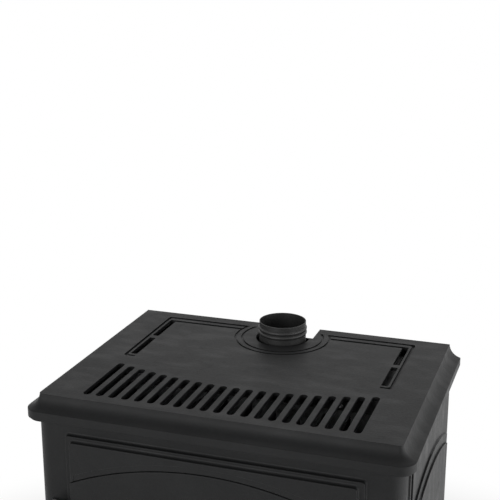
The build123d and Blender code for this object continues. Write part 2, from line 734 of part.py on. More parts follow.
def front_facade():
    """Cast front with rounded upright corners and two raised layers."""
    z0, z1 = BASE_TOP, BODY_TOP
    shell = block(-BODY_HALF, BODY_HALF, FACADE_Y, RETURN_Y, z0, z1)
    shell = fillet(upright_edges(shell).sort_by(Axis.Y)[:2], FRONT_CORNER)
    core = block(-BODY_INNER, BODY_INNER, FACADE_BACK, RETURN_Y + CASTING, z0 - FIT, z1 + FIT)
    core = fillet(upright_edges(core).sort_by(Axis.Y)[:2], FRONT_CORNER - CASTING)
    facade = shell - core
    facade = raised_layer(
        facade, FIELD_1_HALF, FIELD_1_BOTTOM, TOP_HEIGHT - FIELD_1_TOP, LAYER_1_Y, FACADE_Y
    )
    facade = raised_layer(
        facade, FIELD_2_HALF, FIELD_2_BOTTOM, TOP_HEIGHT - FIELD_2_TOP, FACE_Y, LAYER_1_Y
    )
    ahead, behind = FACE_Y - CASTING, FACADE_BACK + CASTING
    facade -= arch_slab(DOOR_HALF + PANEL_GAP, DOOR_BOTTOM - PANEL_GAP, -PANEL_GAP, ahead, FACADE_Y)
    rim_half = FIELD_2_HALF - FIELD_CORNER
    facade -= arch_slab(rim_half, DOOR_BOTTOM, -DOOR_RIM - PANEL_GAP, ahead, FACE_Y + DOOR_RIM_DEPTH)
    facade -= arch_slab(MOUTH_HALF, MOUTH_BOTTOM, MOUTH_INSET, ahead, behind)
    half = DRAWER_HALF + PANEL_GAP
    facade -= block(-half, half, ahead, behind, DRAWER_BOTTOM - PANEL_GAP, DRAWER_TOP + PANEL_GAP)
    for side in (-1, 1):
        x0, x1 = sorted((side * (BODY_HALF - JOINT_DEPTH), side * (BODY_HALF + JOINT_DEPTH)))
        facade -= block(x0, x1, RETURN_Y - JOINT_LINE / 2, RETURN_Y + JOINT_LINE, z0 - FIT, z1 + FIT)
        facade += side_bead(side, RETURN_Y - SIDE_BEAD_AHEAD)
    return facade


def side_bead(side, front):
    """Upright bead on the side of the casing, from the base to just under the lip."""
    x0, x1 = sorted((side * (BODY_HALF - JOINT_DEPTH), side * (BODY_HALF + SIDE_BEAD_PROUD)))
    top = TOP_HEIGHT - LIP_DEPTH - LIP_GAP
    bead = block(x0, x1, front, front + SIDE_BEAD, BASE_TOP + FIT, top)
    return fillet(upright_edges(bead).sort_by(Axis.X)[1 + side:3 + side], SIDE_BEAD_ROUND)


def side_layer(side, number):
    """Raised layer of the side panel, with straight legs and an arched top."""
    inset = number * (SIDE_ARC_PEAKS[1] - SIDE_ARC_PEAKS[0])
    proud = BODY_HALF + (number + 1) * SIDE_LAYER
    x0, x1 = sorted((side * (BODY_HALF - JOINT_DEPTH), side * proud))
    front = RETURN_Y + SIDE_LEG_INSET + inset
    back = BODY_BACK - SIDE_LEG_BACK - inset
    y = BODY_BACK - SIDE_ARC_Y
    z = TOP_HEIGHT - SIDE_ARC_PEAKS[number] - SIDE_ARC
    layer = block(x0, x1, front, back, SIDE_FOOT + inset, TOP_HEIGHT)
    return layer & rod_x(SIDE_ARC, x0, x1, y, z)


def side_panel(side):
    x0, x1 = sorted((side * BODY_INNER, side * BODY_HALF))
    panel = block(x0, x1, RETURN_Y + FIT, BODY_BACK, BASE_TOP, BODY_TOP)
    cut0, cut1 = sorted((side * (BODY_HALF - JOINT_DEPTH), side * (BODY_HALF + JOINT_DEPTH)))
    panel -= block(cut0, cut1, RETURN_Y, RETURN_Y + JOINT_LINE / 2, BASE_TOP - FIT, BODY_TOP + FIT)
    panel += side_bead(side, RETURN_Y - SIDE_BEAD_AHEAD + SIDE_BEAD_STEP)
    for number in range(len(SIDE_ARC_PEAKS)):
        panel += side_layer(side, number)
    return panel


def side_panel_left():
    return side_panel(-1)


def side_panel_right():
    return side_panel(1)


def rear_panel():
    half = BODY_INNER - FIT
    panel = block(-half, half, BODY_BACK - SHEET, BODY_BACK, BASE_TOP, DECK_BOTTOM - FIT)
    cut_front, cut_back = BODY_BACK - 2 * SHEET, BODY_BACK + SHEET
    half = LOUVRE_WIDTH / 2
    slots = []
    for first in (LOUVRE_LOW, DECK_BOTTOM - LOUVRE_HIGH):
        for number in range(LOUVRE_ROWS):
            z = first + number * LOUVRE_PITCH
            for x in (-LOUVRE_X, LOUVRE_X):
                slots.append(block(x - half, x + half, cut_front, cut_back, z, z + LOUVRE_HEIGHT))
    panel -= slots
    panel -= rod_y(INTAKE_RADIUS + FIT, cut_front, cut_back, INTAKE_X, INTAKE_Z)
    return panel - inlet_block(INLET_FACE, cut_front, cut_back)


def top_deck():
    """Sheet that closes the casing under the top."""
    half = BODY_INNER - FIT
    deck = block(-half, half, FACADE_BACK + FIT, BODY_BACK - FIT, DECK_BOTTOM, BODY_TOP)
    deck = fillet(upright_edges(deck).sort_by(Axis.Y)[:2], FRONT_CORNER - CASTING)
    low, high = DECK_BOTTOM - DECK, BODY_TOP + DECK
    outlet_front, outlet_back = FIREBOX_FRONT + OUTLET_FRONT, FIREBOX_BACK - OUTLET_BACK
    deck -= block(-OUTLET_HALF, OUTLET_HALF, outlet_front, outlet_back, low, high)
    inset = HOPPER_SHEET
    mouth = block(
        HOPPER_LEFT + inset,
        HOPPER_RIGHT - inset,
        HOPPER_Y0 + inset,
        HOPPER_Y1 - inset,
        low,
        high,
    )
    tunnel_front = FLUE_Y - FLUE_RADIUS - TUNNEL_GAP
    mouth -= block(-TUNNEL_HALF, TUNNEL_HALF, tunnel_front, BODY_BACK, low, high)
    deck -= mouth
    edge_half = TOP_WIDTH / 2 - EDGE_LAND
    edge_top = TOP_HEIGHT - PLATE - UPSTAND_GAP
    deck += block(-edge_half, edge_half, BODY_BACK - FIT - DECK, BODY_BACK - FIT, DECK_BOTTOM, edge_top)
    return deck - rod_z(FLUE_RADIUS + FIT, low, edge_top + DECK, 0, FLUE_Y)


# ---------------------------------------------------------------- door
def window_arch(margin):
    """Insets that put an outline margin outside the window."""
    return WINDOW_HALF + margin, WINDOW_BOTTOM - margin, WINDOW_INSET - margin


def rope_outline(margin, y_front, y_back):
    inset = ROPE_INSET - margin
    return arch_slab(DOOR_HALF - inset, DOOR_BOTTOM + inset, inset, y_front, y_back)


def rope_ring(y_front, y_back, slack):
    half = ROPE_WIDTH / 2 + slack
    return rope_outline(half, y_front, y_back) - rope_outline(-half, y_front, y_back)


def knuckle_tops():
    """Top of each door knuckle."""
    return [TOP_HEIGHT - HINGE_TOP - HINGE_EAR - FIT, HINGE_LOW - HINGE_EAR - FIT]


def fire_door():
    door = arch_slab(DOOR_HALF, DOOR_BOTTOM, 0, FACE_Y, DOOR_BACK)
    door = fillet(depth_edges(door), DOOR_CORNER)
    door = fillet(door.edges().group_by(Axis.Y)[0], DOOR_ROUND)
    half, bottom, inset = window_arch(0)
    door -= arch_slab(half, bottom, inset, FACE_Y - FIT, DOOR_BACK + FIT)
    crown = ARC_CENTRE_Z + DOOR_ARC - inset
    door = chamfer(outline_edges(door, FACE_Y, half, bottom, crown), WINDOW_BEVEL)
    half, bottom, inset = window_arch(GLASS_LAP + GLASS_GAP)
    door -= arch_slab(half, bottom, inset, DOOR_BACK - GLASS - GASKET, DOOR_BACK + FIT)
    door -= rope_ring(DOOR_BACK - ROPE_DEPTH, DOOR_BACK + FIT, FIT)
    door -= rod_y(SPINDLE_RADIUS + RUNNING, FACE_Y - FIT, DOOR_BACK + FIT, HANDLE_X, HANDLE_Z)
    for top in knuckle_tops():
        low = top - HINGE_KNUCKLE
        knuckle = rod_z(HINGE_RADIUS, low, top, HINGE_X, HINGE_Y)
        arm_back = FACE_Y + STEP_2 - 2 * FIT
        arm = block(HINGE_X, -DOOR_HALF + DOOR_CORNER, HINGE_Y, arm_back, low, top)
        bore = rod_z(PIN_RADIUS + RUNNING, low - FIT, top + FIT, HINGE_X, HINGE_Y)
        door = door + knuckle + arm - bore
    return door


def door_glass():
    half, bottom, inset = window_arch(GLASS_LAP)
    return arch_slab(half, bottom, inset, DOOR_BACK - GLASS, DOOR_BACK)


def glass_seal():
    half, bottom, inset = window_arch(GLASS_LAP)
    outer = arch_slab(half, bottom, inset, DOOR_BACK - GLASS - GASKET, DOOR_BACK - GLASS)
    half, bottom, inset = window_arch(GLASS_LAP - GASKET_WIDTH)
    return outer - arch_slab(half, bottom, inset, DOOR_BACK - 2 * GLASS, DOOR_BACK)


def door_seal():
    return rope_ring(DOOR_BACK - ROPE_DEPTH + FIT, FACADE_Y - FIT, 0)


def clip_places():
    """Three clips down each side of the glass, as (x, z, inward direction)."""
    edge = WINDOW_HALF + GLASS_LAP
    low = WINDOW_BOTTOM + CLIP_LENGTH
    heights = (low, (low + HANDLE_Z) / 2, arch_height(WINDOW_INSET, edge) - CLIP_LENGTH)
    return [(side * edge, z, side) for side in (-1, 1) for z in heights]


def glass_clips():
    """Bent plates that hold the glass from behind, each with its screw."""
    solids = []
    for x, z, side in clip_places():
        x0, x1 = sorted((x - side * CLIP_LENGTH / 2, x + side * CLIP_LENGTH / 2))
        y0 = DOOR_BACK + FIT
        solids.append(block(x0, x1, y0, y0 + CLIP_THICK, z - CLIP_WIDTH / 2, z + CLIP_WIDTH / 2))
        screw_x = x + side * CLIP_LENGTH / 4
        solids.append(rod_y(2 * CLIP_SCREW, y0 + CLIP_THICK, y0 + 2 * CLIP_THICK, screw_x, z))
    return group(solids)


def hinge_brackets():
    """Two fixed brackets, each with an ear above and below the door's knuckle."""
    brackets = []
    for top in knuckle_tops():
        ears = (
            (top + FIT, top + FIT + HINGE_EAR),
            (top - HINGE_KNUCKLE - FIT - HINGE_EAR, top - HINGE_KNUCKLE - FIT),
        )
        low, high = ears[1][0], ears[0][1]
        pad_right = -FIELD_1_HALF - FIELD_COVE - FIT
        bracket = block(pad_right - PAD_WIDTH, pad_right, FACADE_Y - PAD_THICK, FACADE_Y, low, high)
        for z0, z1 in ears:
            bracket += rod_z(HINGE_RADIUS, z0, z1, HINGE_X, HINGE_Y)
            bracket += block(HINGE_X - HINGE_RADIUS, pad_right, HINGE_Y, FACADE_Y, z0, z1)
        bracket -= rod_z(PIN_RADIUS + RUNNING, low - FIT, high + FIT, HINGE_X, HINGE_Y)
        brackets.append(bracket)
    return group(brackets)


def hinge_pins():
    pins = []
    for top in knuckle_tops():
        high = top + FIT + HINGE_EAR
        low = top - HINGE_KNUCKLE - FIT - HINGE_EAR
        head = rod_z(PIN_HEAD, high, high + PIN_HEAD_HEIGHT, HINGE_X, HINGE_Y)
        pins.append(rod_z(PIN_RADIUS, low, high, HINGE_X, HINGE_Y) + head)
    return group(pins)


def door_handle():
    """Spindle, boss and cranked arm."""
    spindle_back = FACADE_BACK + KEEPER_THICK + 2 * FIT + CAM_THICK
    spindle = rod_y(SPINDLE_RADIUS, FACE_Y - BOSS_DEPTH, spindle_back, HANDLE_X, HANDLE_Z)
    boss = rod_y(BOSS_RADIUS, FACE_Y - BOSS_DEPTH, FACE_Y - FIT, HANDLE_X, HANDLE_Z)
    boss = fillet(boss.edges().group_by(Axis.Y)[0], DOOR_ROUND)
    neck = rod_y(SPINDLE_RADIUS, HANDLE_BAR_Y, FACE_Y - BOSS_DEPTH, HANDLE_X, HANDLE_Z)
    half = ARM_WIDTH / 2
    arm = block(
        HANDLE_X - half,
        HANDLE_X + half,
        HANDLE_BAR_Y - ARM_THICK / 2,
        HANDLE_BAR_Y + ARM_THICK / 2,
        HANDLE_Z - GRIP_DROP,
        HANDLE_Z + half,
    )
    arm = fillet(depth_edges(arm), ARM_WIDTH / 4)
    top = HANDLE_Z - GRIP_DROP
    core = rod_z(SPINDLE_RADIUS / 2, top - GRIP_LENGTH + ARM_WIDTH, top, HANDLE_X, HANDLE_BAR_Y)
    return spindle + boss + neck + arm + core


def handle_grip():
    top = HANDLE_Z - GRIP_DROP - FIT
    low = top - GRIP_LENGTH
    grip = rod_z(GRIP_RADIUS, low, top, HANDLE_X, HANDLE_BAR_Y)
    grip = fillet(grip.edges().group_by(Axis.Z)[0], GRIP_RADIUS / 2)
    bore_low = low + ARM_WIDTH - FIT
    return grip - rod_z(SPINDLE_RADIUS / 2 + RUNNING, bore_low, top + FIT, HANDLE_X, HANDLE_BAR_Y)


def latch_cam():
    """Tongue that swings behind the keeper as the handle turns."""
    y0 = FACADE_BACK + KEEPER_THICK + FIT
    y1 = y0 + CAM_THICK
    hub = rod_y(CAM_WIDTH / 2 + FIT, y0, y1, HANDLE_X, HANDLE_Z)
    half = CAM_WIDTH / 2
    tongue = block(HANDLE_X - half, HANDLE_X + half, y0, y1, HANDLE_Z, HANDLE_Z + CAM_LENGTH)
    return hub + tongue - rod_y(SPINDLE_RADIUS + RUNNING, y0 - FIT, y1 + FIT, HANDLE_X, HANDLE_Z)


def latch_keeper():
    """Plate behind the facade that the cam pulls against."""
    half = KEEPER_SPAN / 2
    x0, x1 = MOUTH_HALF, MOUTH_HALF + KEEPER_LAP
    return block(x0, x1, FACADE_BACK, FACADE_BACK + KEEPER_THICK, HANDLE_Z - half, HANDLE_Z + half)


# ---------------------------------------------------------------- ash drawer
def ash_drawer_front():
    front = block(-DRAWER_HALF, DRAWER_HALF, FACE_Y, DOOR_BACK, DRAWER_BOTTOM, DRAWER_TOP)
    front = fillet(depth_edges(front), DOOR_CORNER)
    return fillet(front.edges().group_by(Axis.Y)[0], DOOR_ROUND)


def pan_limits():
    return DOOR_BACK, FIREBOX_BACK - CASTING, DRAWER_BOTTOM + PAN_LIFT, DRAWER_BOTTOM + PAN_LIFT + PAN_HEIGHT


def ash_pan():
    front, back, low, high = pan_limits()
    pan = block(-PAN_HALF, PAN_HALF, front, back, low, high)
    wall = PAN_SHEET
    return pan - block(-PAN_HALF + wall, PAN_HALF - wall, front + wall, back - wall, low + wall, high + wall)


def ash_drawer_knob():
    z = (DRAWER_BOTTOM + DRAWER_TOP) / 2
    neck = rod_y(KNOB_NECK, FACE_Y - KNOB_LENGTH, FACE_Y, 0, z)
    head = rod_y(KNOB_RADIUS, FACE_Y - KNOB_LENGTH, FACE_Y - KNOB_LENGTH / 2, 0, z)
    head = fillet(head.edges().group_by(Axis.Y)[0] + head.edges().group_by(Axis.Y)[-1], KNOB_NECK / 2)
    return neck + head


def ash_drawer_runners():
    """Two angles under the pan, standing on the base."""
    front, back, low, high = pan_limits()
    runners = []
    for side in (-1, 1):
        inner = side * (PAN_HALF - RAIL_LEG)
        outer = side * (PAN_HALF + SLIDE + SHEET)
        wall = side * (PAN_HALF + SLIDE)
        x0, x1 = sorted((inner, outer))
        shelf = block(x0, x1, FACADE_BACK + FIT, back, low - FIT - SHEET, low - FIT)
        x0, x1 = sorted((wall, outer))
        runners.append(shelf + block(x0, x1, FACADE_BACK + FIT, back, BASE_TOP, low + RAIL_LEG))
    return group(runners)


# ---------------------------------------------------------------- firebox
def chute_profile(margin):
    """Side outline of the drop chute, grown by margin, as (y, z) points."""
    back = AUGER_Y + CHUTE_BACK + margin
    front = AUGER_Y - CHUTE_FRONT - margin
    end = CHUTE_END_Y
    top = CHUTE_KNEE + CHUTE_FRONT + 2 * margin
    lower = CHUTE_KNEE - margin
    upper = CHUTE_KNEE + margin
    return [
        (back, top),
        (back, lower),
        (end, lower - (back - end)),
        (end, upper + CHUTE_TALL - (back - end)),
        (front, upper + CHUTE_TALL - (back - front)),
        (front, top),
    ]


def chute_passage(slack):
    """Space for the chute through a wall."""
    return prism_x(chute_profile(slack), -CHUTE_HALF - slack, CHUTE_HALF + slack)


def smoke_box_limits():
    x0 = FAN_X_HALF + FIT
    back = FAN_Y + FAN_EYE + SMOKE_WALL
    return x0, x0 + SMOKE_BOX_WIDTH, FIREBOX_BACK + FIT, back, SMOKE_BOX_BOTTOM, SMOKE_BOX_TOP


def smoke_passage(inset):
    x0, x1, y0, y1, z0, z1 = smoke_box_limits()
    return block(x0 + inset, x1 - inset, FIREBOX_BACK - CASTING, DUCT_BACK + CASTING, z0 + inset, z1 - inset)


def firebox():
    """Welded steel box, open to the door."""
    wall = PLATE_STEEL
    half = FIREBOX_HALF
    front, back = FIREBOX_FRONT, FIREBOX_BACK
    box = block(-half, half, front, back, FIREBOX_FLOOR, FIREBOX_ROOF)
    inner = half - wall
    box -= block(-inner, inner, front - wall, back - wall, FIREBOX_FLOOR + wall, FIREBOX_ROOF - wall)
    slot = front + ASH_SLOT_FRONT
    low, high = FIREBOX_FLOOR - wall, FIREBOX_FLOOR + 2 * wall
    box -= block(-ASH_SLOT_HALF, ASH_SLOT_HALF, slot, slot + ASH_SLOT_DEPTH, low, high)
    box -= chute_passage(FIT)
    box -= smoke_passage(SMOKE_WALL + FIT)
    box -= rod_y(INTAKE_RADIUS + FIT, back - 2 * wall, back + wall, INTAKE_X, INTAKE_Z)
    box -= rod_y(IGNITER_RADIUS + FIT, back - 2 * wall, back + wall, IGNITER_X, IGNITER_Z)
    return box


def fireback_back():
    return FIREBOX_BACK - PLATE_STEEL - FIREBACK_GAP


def feed_corner():
    """Left side and top of the air duct that feeds the burn pot."""
    grow = INTAKE_RADIUS + HOLDER_WALL
    return INTAKE_X - grow, INTAKE_Z + grow


def fireback():
    """Ribbed plate at the back of the fire, on two feet that clear the air duct."""
    back = fireback_back()
    front = back - FIREBACK_THICK
    plate = block(-FIREBACK_HALF, FIREBACK_HALF, front, back, FIREBACK_FOOT, FIREBACK_TOP)
    pitch = 2 * FIREBACK_HALF / RIB_COUNT
    for number in range(RIB_COUNT):
        x = (number + 0.5) * pitch - FIREBACK_HALF
        half = (pitch - RIB_WIDTH) / 2
        low, high = FIREBACK_FOOT + RIB_WIDTH, FIREBACK_TOP - RIB_WIDTH
        plate -= block(x - half, x + half, front - FIT, front + RIB_DEPTH, low, high)
    plate -= chute_passage(FIT)
    wall_y = FIREBOX_BACK - PLATE_STEEL - FIT
    for side in (-1, 1):
        x0, x1 = sorted((side * (FIREBACK_HALF - FIREBACK_THICK), side * FIREBACK_HALF))
        plate += block(x0, x1, front, back, FIREBOX_FLOOR + PLATE_STEEL, FIREBACK_FOOT)
        plate += block(x0, x1, back, wall_y, FIREBACK_TOP - SPACER, FIREBACK_TOP)
    left, top = feed_corner()
    return plate - block(left - FIT, -HOLDER_HALF, front - FIT, wall_y, FIREBOX_FLOOR, top + FIT)


def baffle_plate():
    """Deflector that rests on the fireback and on two side ledges."""
    back = fireback_back()
    half = FIREBOX_HALF - PLATE_STEEL - FIT
    low = FIREBACK_TOP + BAFFLE_LEG
    plate = block(-half, half, back - BAFFLE_DEPTH, back, low, low + BAFFLE_THICK)
    for side in (-1, 1):
        x0, x1 = sorted((side * (FIREBACK_HALF - FIREBACK_THICK), side * FIREBACK_HALF))
        plate += block(x0, x1, back - FIREBACK_THICK, back, FIREBACK_TOP, low)
    return plate


def heat_exchanger_fins():
    """Upright fins on the firebox roof, in the warm-air path."""
    fins = []
    span = 2 * (FIREBOX_HALF - AIR_GAP)
    for number in range(FIN_COUNT):
        x = (number / (FIN_COUNT - 1) - 0.5) * span
        half = FIN_THICK / 2
        front = FIREBOX_FRONT + AIR_GAP
        fins.append(block(x - half, x + half, front, FIREBOX_BACK, FIREBOX_ROOF, FIREBOX_ROOF + FIN_HEIGHT))
    return group(fins)


def air_duct():
    """Channel behind the firebox that carries the fan's air up to the roof."""
    half = FIREBOX_HALF
    duct = block(-half, half, FIREBOX_BACK + FIT, DUCT_BACK, BLOWER_TOP + FIT, DECK_BOTTOM - FIT)
    inner = half - AIR_SHEET
    duct -= block(-inner, inner, FIREBOX_BACK, DUCT_BACK - AIR_SHEET, BLOWER_TOP, DECK_BOTTOM)
    front = FIREBOX_BACK + FIT
    duct += block(-half, half, front, front + AIR_SHEET, BLOWER_TOP + FIT, FIREBOX_FLOOR)
    duct -= chute_passage(FIT)
    duct -= smoke_passage(-FIT)
    back_start = DUCT_BACK - 2 * AIR_SHEET
    duct -= rod_y(INTAKE_RADIUS + FIT, back_start, DUCT_BACK + AIR_SHEET, INTAKE_X, INTAKE_Z)
    duct -= rod_y(IGNITER_RADIUS + FIT, back_start, DUCT_BACK + AIR_SHEET, IGNITER_X, IGNITER_Z)
    return duct


def hot_air_hood():
    """Cheeks and front wall on the firebox roof, up to the deck's outlet."""
    half = FIREBOX_HALF - HOOD_INSET
    hood = block(-half, half, FIREBOX_FRONT, FIREBOX_BACK, FIREBOX_ROOF, DECK_BOTTOM - FIT)
    inner = half - AIR_SHEET
    front = FIREBOX_FRONT + AIR_SHEET
    return hood - block(-inner, inner, front, FIREBOX_BACK + FIT, FIREBOX_ROOF - FIT, DECK_BOTTOM)


def burn_pot_holder():
    """Air box under the burn pot, fed from the intake pipe."""
    wall = HOLDER_WALL
    low, high = FIREBOX_FLOOR + PLATE_STEEL, HOLDER_TOP
    half = HOLDER_HALF
    front, back = HOLDER_BACK_Y - HOLDER_DEPTH, HOLDER_BACK_Y
    feed_left, feed_top = feed_corner()
    feed_front = back - FEED_DEPTH
    feed_back = FIREBOX_BACK - PLATE_STEEL - FIT
    seat = block(-half, half, front, back, low, high)
    feed = block(feed_left, wall - half, feed_front, feed_back, low, feed_top)
    inner_left, inner_front = feed_left + wall, feed_front + wall
    hollow = block(wall - half, half - wall, front + wall, back - wall, low + wall, high - wall)
    hollow += block(inner_left, -half, inner_front, feed_back + wall, low + wall, feed_top - wall)
    hollow += block(inner_left, 2 * wall - half, inner_front, back - wall, low + wall, high - wall)
    hole = POT_HALF + FIT
    pot_front, pot_back = POT_BACK_Y - POT_DEPTH - FIT, POT_BACK_Y + FIT
    hollow += block(-hole, hole, pot_front, pot_back, high - 2 * wall, high + wall)
    holder = seat + feed - hollow
    return holder - rod_y(IGNITER_HOLE, back - 2 * wall, back + wall, IGNITER_X, IGNITER_Z)


def burn_pot():
    """Cast cup with a perforated bottom, hung by its rim."""
    wall = POT_WALL
    half = POT_HALF
    front, back = POT_BACK_Y - POT_DEPTH, POT_BACK_Y
    pot = block(-half, half, front, back, POT_BOTTOM, POT_TOP)
    rim = half + POT_RIM
    low = HOLDER_TOP + FIT
    pot += block(-rim, rim, front - POT_RIM, back + POT_RIM, low, low + POT_RIM_THICK)
    inner = half - wall
    pot -= block(-inner, inner, front + wall, back - wall, POT_BOTTOM + wall, POT_TOP + wall)
    for row in range(POT_HOLE_ROWS):
        for column in range(POT_HOLE_COLUMNS):
            x = (2 * (column + 1) / (POT_HOLE_COLUMNS + 1) - 1) * half
            y = front + (row + 1) * (back - front) / (POT_HOLE_ROWS + 1)
            pot -= rod_z(POT_HOLE, POT_BOTTOM - wall, POT_BOTTOM + 2 * wall, x, y)
    return pot - rod_y(IGNITER_HOLE, back - 2 * wall, back + wall, IGNITER_X, IGNITER_Z)


def igniter():
    tip = POT_BACK_Y + IGNITER_STAND
    end = DUCT_BACK + 2 * IGNITER_STAND
    rod = rod_y(IGNITER_RADIUS, tip, end, IGNITER_X, IGNITER_Z)
    return rod + rod_y(IGNITER_CAP, DUCT_BACK + FIT, end, IGNITER_X, IGNITER_Z)


# ---------------------------------------------------------------- flue
def flue_collar():
    """Beaded spigot with a flange on the deck."""
    rim = TOP_HEIGHT + COLLAR_HEIGHT
    tube = rod_z(FLUE_RADIUS, BODY_TOP, rim, 0, FLUE_Y)
    for number in range(BEAD_COUNT):
        bead = Torus(FLUE_RADIUS + BEAD_PROUD - BEAD_RADIUS, BEAD_RADIUS)
        tube += Pos(0, FLUE_Y, rim - BEAD_DROP - number * BEAD_PITCH) * bead
    reach = FLUE_RADIUS + COLLAR_FLANGE
    flange = rod_z(reach, BODY_TOP, BODY_TOP + FLANGE_THICK, 0, FLUE_Y)
    flange &= block(-reach, reach, FLUE_Y - reach, REAR_INNER, BODY_TOP, BODY_TOP + FLANGE_THICK)
    hollow = rod_z(FLUE_RADIUS - FLUE_WALL, BODY_TOP - FIT, rim + FIT, 0, FLUE_Y)
    return tube + flange - hollow


def flue_riser():
    """Smoke pipe, standing on a seat that closes the fan's outlet."""
    half = FLUE_RADIUS + FLANGE_THICK
    seat_top = FAN_OUTLET_TOP + FLANGE_THICK
    x, y = FAN_X_HALF - FAN_WALL, FAN_OUTLET_HALF - FAN_WALL
    seat = block(-half, half, FLUE_Y - half, REAR_INNER - FIT, FAN_OUTLET_TOP, seat_top)
    seat -= block(-x, x, FLUE_Y - y, FLUE_Y + y, FAN_OUTLET_TOP - FIT, seat_top + FIT)
    pipe = rod_z(FLUE_RADIUS, seat_top, DECK_BOTTOM + DECK - FIT, 0, FLUE_Y)
    pipe -= rod_z(FLUE_RADIUS - FLUE_WALL, seat_top - FIT, BODY_TOP, 0, FLUE_Y)
    return group([seat, pipe])


def fan_case(radius_change, x_half, outlet_change, top):
    """Volute outline: a drum and an outlet that runs up to the riser."""
    drum = rod_x(FAN_RADIUS + radius_change, -x_half, x_half, FAN_Y, FAN_Z)
    half = FAN_OUTLET_HALF + outlet_change
    outlet = block(-x_half, x_half, FLUE_Y - half, FLUE_Y + half, FAN_Z, top)
    return drum + outlet


def exhaust_fan_housing():
    case = fan_case(0, FAN_X_HALF, 0, FAN_OUTLET_TOP - FIT)
    case -= fan_case(-FAN_WALL, FAN_X_HALF - FAN_WALL, -FAN_WALL, FAN_OUTLET_TOP + FIT)
    case -= rod_x(FAN_EYE, FAN_X_HALF - 2 * FAN_WALL, FAN_X_HALF + FIT, FAN_Y, FAN_Z)
    return case - rod_x(SHAFT_RADIUS + RUNNING, -FAN_X_HALF - FIT, 0, FAN_Y, FAN_Z)


def exhaust_impeller():
    """Back disc, straight blades, hub and motor shaft."""
    half = IMPELLER_WIDTH / 2
    wheel = rod_x(IMPELLER_RADIUS, -half, BLADE_THICK - half, FAN_Y, FAN_Z)
    wheel += rod_x(2 * SHAFT_RADIUS, -half, half, FAN_Y, FAN_Z)
    front, back = FAN_Y - BLADE_THICK / 2, FAN_Y + BLADE_THICK / 2
    for number in range(BLADE_COUNT):
        blade = block(-half, half, front, back, FAN_Z + SHAFT_RADIUS, FAN_Z + IMPELLER_RADIUS)
        wheel += blade.rotate(Axis((0, FAN_Y, FAN_Z), (1, 0, 0)), number * 360 / BLADE_COUNT)
    shaft_end = -FAN_X_HALF - MOTOR_STAND - MOTOR_LENGTH / 2
    return wheel + rod_x(SHAFT_RADIUS, shaft_end, -half, FAN_Y, FAN_Z)


def exhaust_fan_motor():
    high = -FAN_X_HALF - MOTOR_STAND
    motor = rod_x(MOTOR_RADIUS, high - MOTOR_LENGTH, high, FAN_Y, FAN_Z)
    motor = fillet(motor.edges().group_by(Axis.X)[0], PLATE_STEEL)
    for number in range(POST_COUNT):
        angle = radians(90 + number * 360 / POST_COUNT)
        y = FAN_Y + POST_CIRCLE * cos(angle)
        z = FAN_Z + POST_CIRCLE * sin(angle)
        motor += rod_x(POST_RADIUS, high - FIT, -FAN_X_HALF, y, z)
    bore_end = high - MOTOR_LENGTH / 2 - FIT
    return motor - rod_x(SHAFT_RADIUS + RUNNING, bore_end, high + FIT, FAN_Y, FAN_Z)


def smoke_box():
    """Duct from the firebox to the eye of the exhaust fan."""
    x0, x1, y0, y1, z0, z1 = smoke_box_limits()
    wall = SMOKE_WALL
    box = block(x0, x1, y0, y1, z0, z1)
    box -= block(x0 + wall, x1 - wall, y0 - wall, y1 - wall, z0 + wall, z1 - wall)
    return box - rod_x(FAN_EYE, x0 - FIT, x0 + 2 * wall, FAN_Y, FAN_Z)


# ---------------------------------------------------------------- pellet feed
def level_face(x0, x1, y0, y1, z):
    return Pos((x0 + x1) / 2, (y0 + y1) / 2, z) * Rectangle(x1 - x0, y1 - y0)


def hopper_body(grow):
    """Hopper outline: a sloping funnel below an upright bin."""
    x0, x1 = HOPPER_LEFT - grow, HOPPER_RIGHT + grow
    y0, y1 = HOPPER_Y0 - grow, HOPPER_Y1 + grow
    reach = THROAT_HALF + grow
    lower = level_face(THROAT_LEFT - grow, THROAT_RIGHT + grow, AUGER_Y - reach, AUGER_Y + reach, THROAT_Z)
    upper = level_face(x0, x1, y0, y1, HOPPER_SLOPE_TOP)
    funnel = loft([lower, upper], ruled=True)
    return funnel + block(x0, x1, y0, y1, HOPPER_SLOPE_TOP, DECK_BOTTOM - FIT)


def hopper():
    """Sheet bin whose back wall folds in round the flue pipe."""
    sheet = HOPPER_SHEET
    tunnel_front = FLUE_Y - FLUE_RADIUS - TUNNEL_GAP
    tunnel = block(-TUNNEL_HALF, TUNNEL_HALF, tunnel_front, BODY_BACK, BLOWER_TOP, TOP_HEIGHT)
    sleeve = block(
        -TUNNEL_HALF - sheet, TUNNEL_HALF + sheet, tunnel_front - sheet, BODY_BACK, BLOWER_TOP, TOP_HEIGHT
    )
    outer = hopper_body(0)
    inner = hopper_body(-sheet) + block(
        THROAT_LEFT + sheet,
        THROAT_RIGHT - sheet,
        AUGER_Y - THROAT_HALF + sheet,
        AUGER_Y + THROAT_HALF - sheet,
        THROAT_Z - sheet,
        THROAT_Z + 2 * sheet,
    )
    inner += block(
        HOPPER_LEFT + sheet,
        HOPPER_RIGHT - sheet,
        HOPPER_Y0 + sheet,
        HOPPER_Y1 - sheet,
        HOPPER_SLOPE_TOP,
        TOP_HEIGHT,
    )
    return (outer - (inner - sleeve)) - tunnel


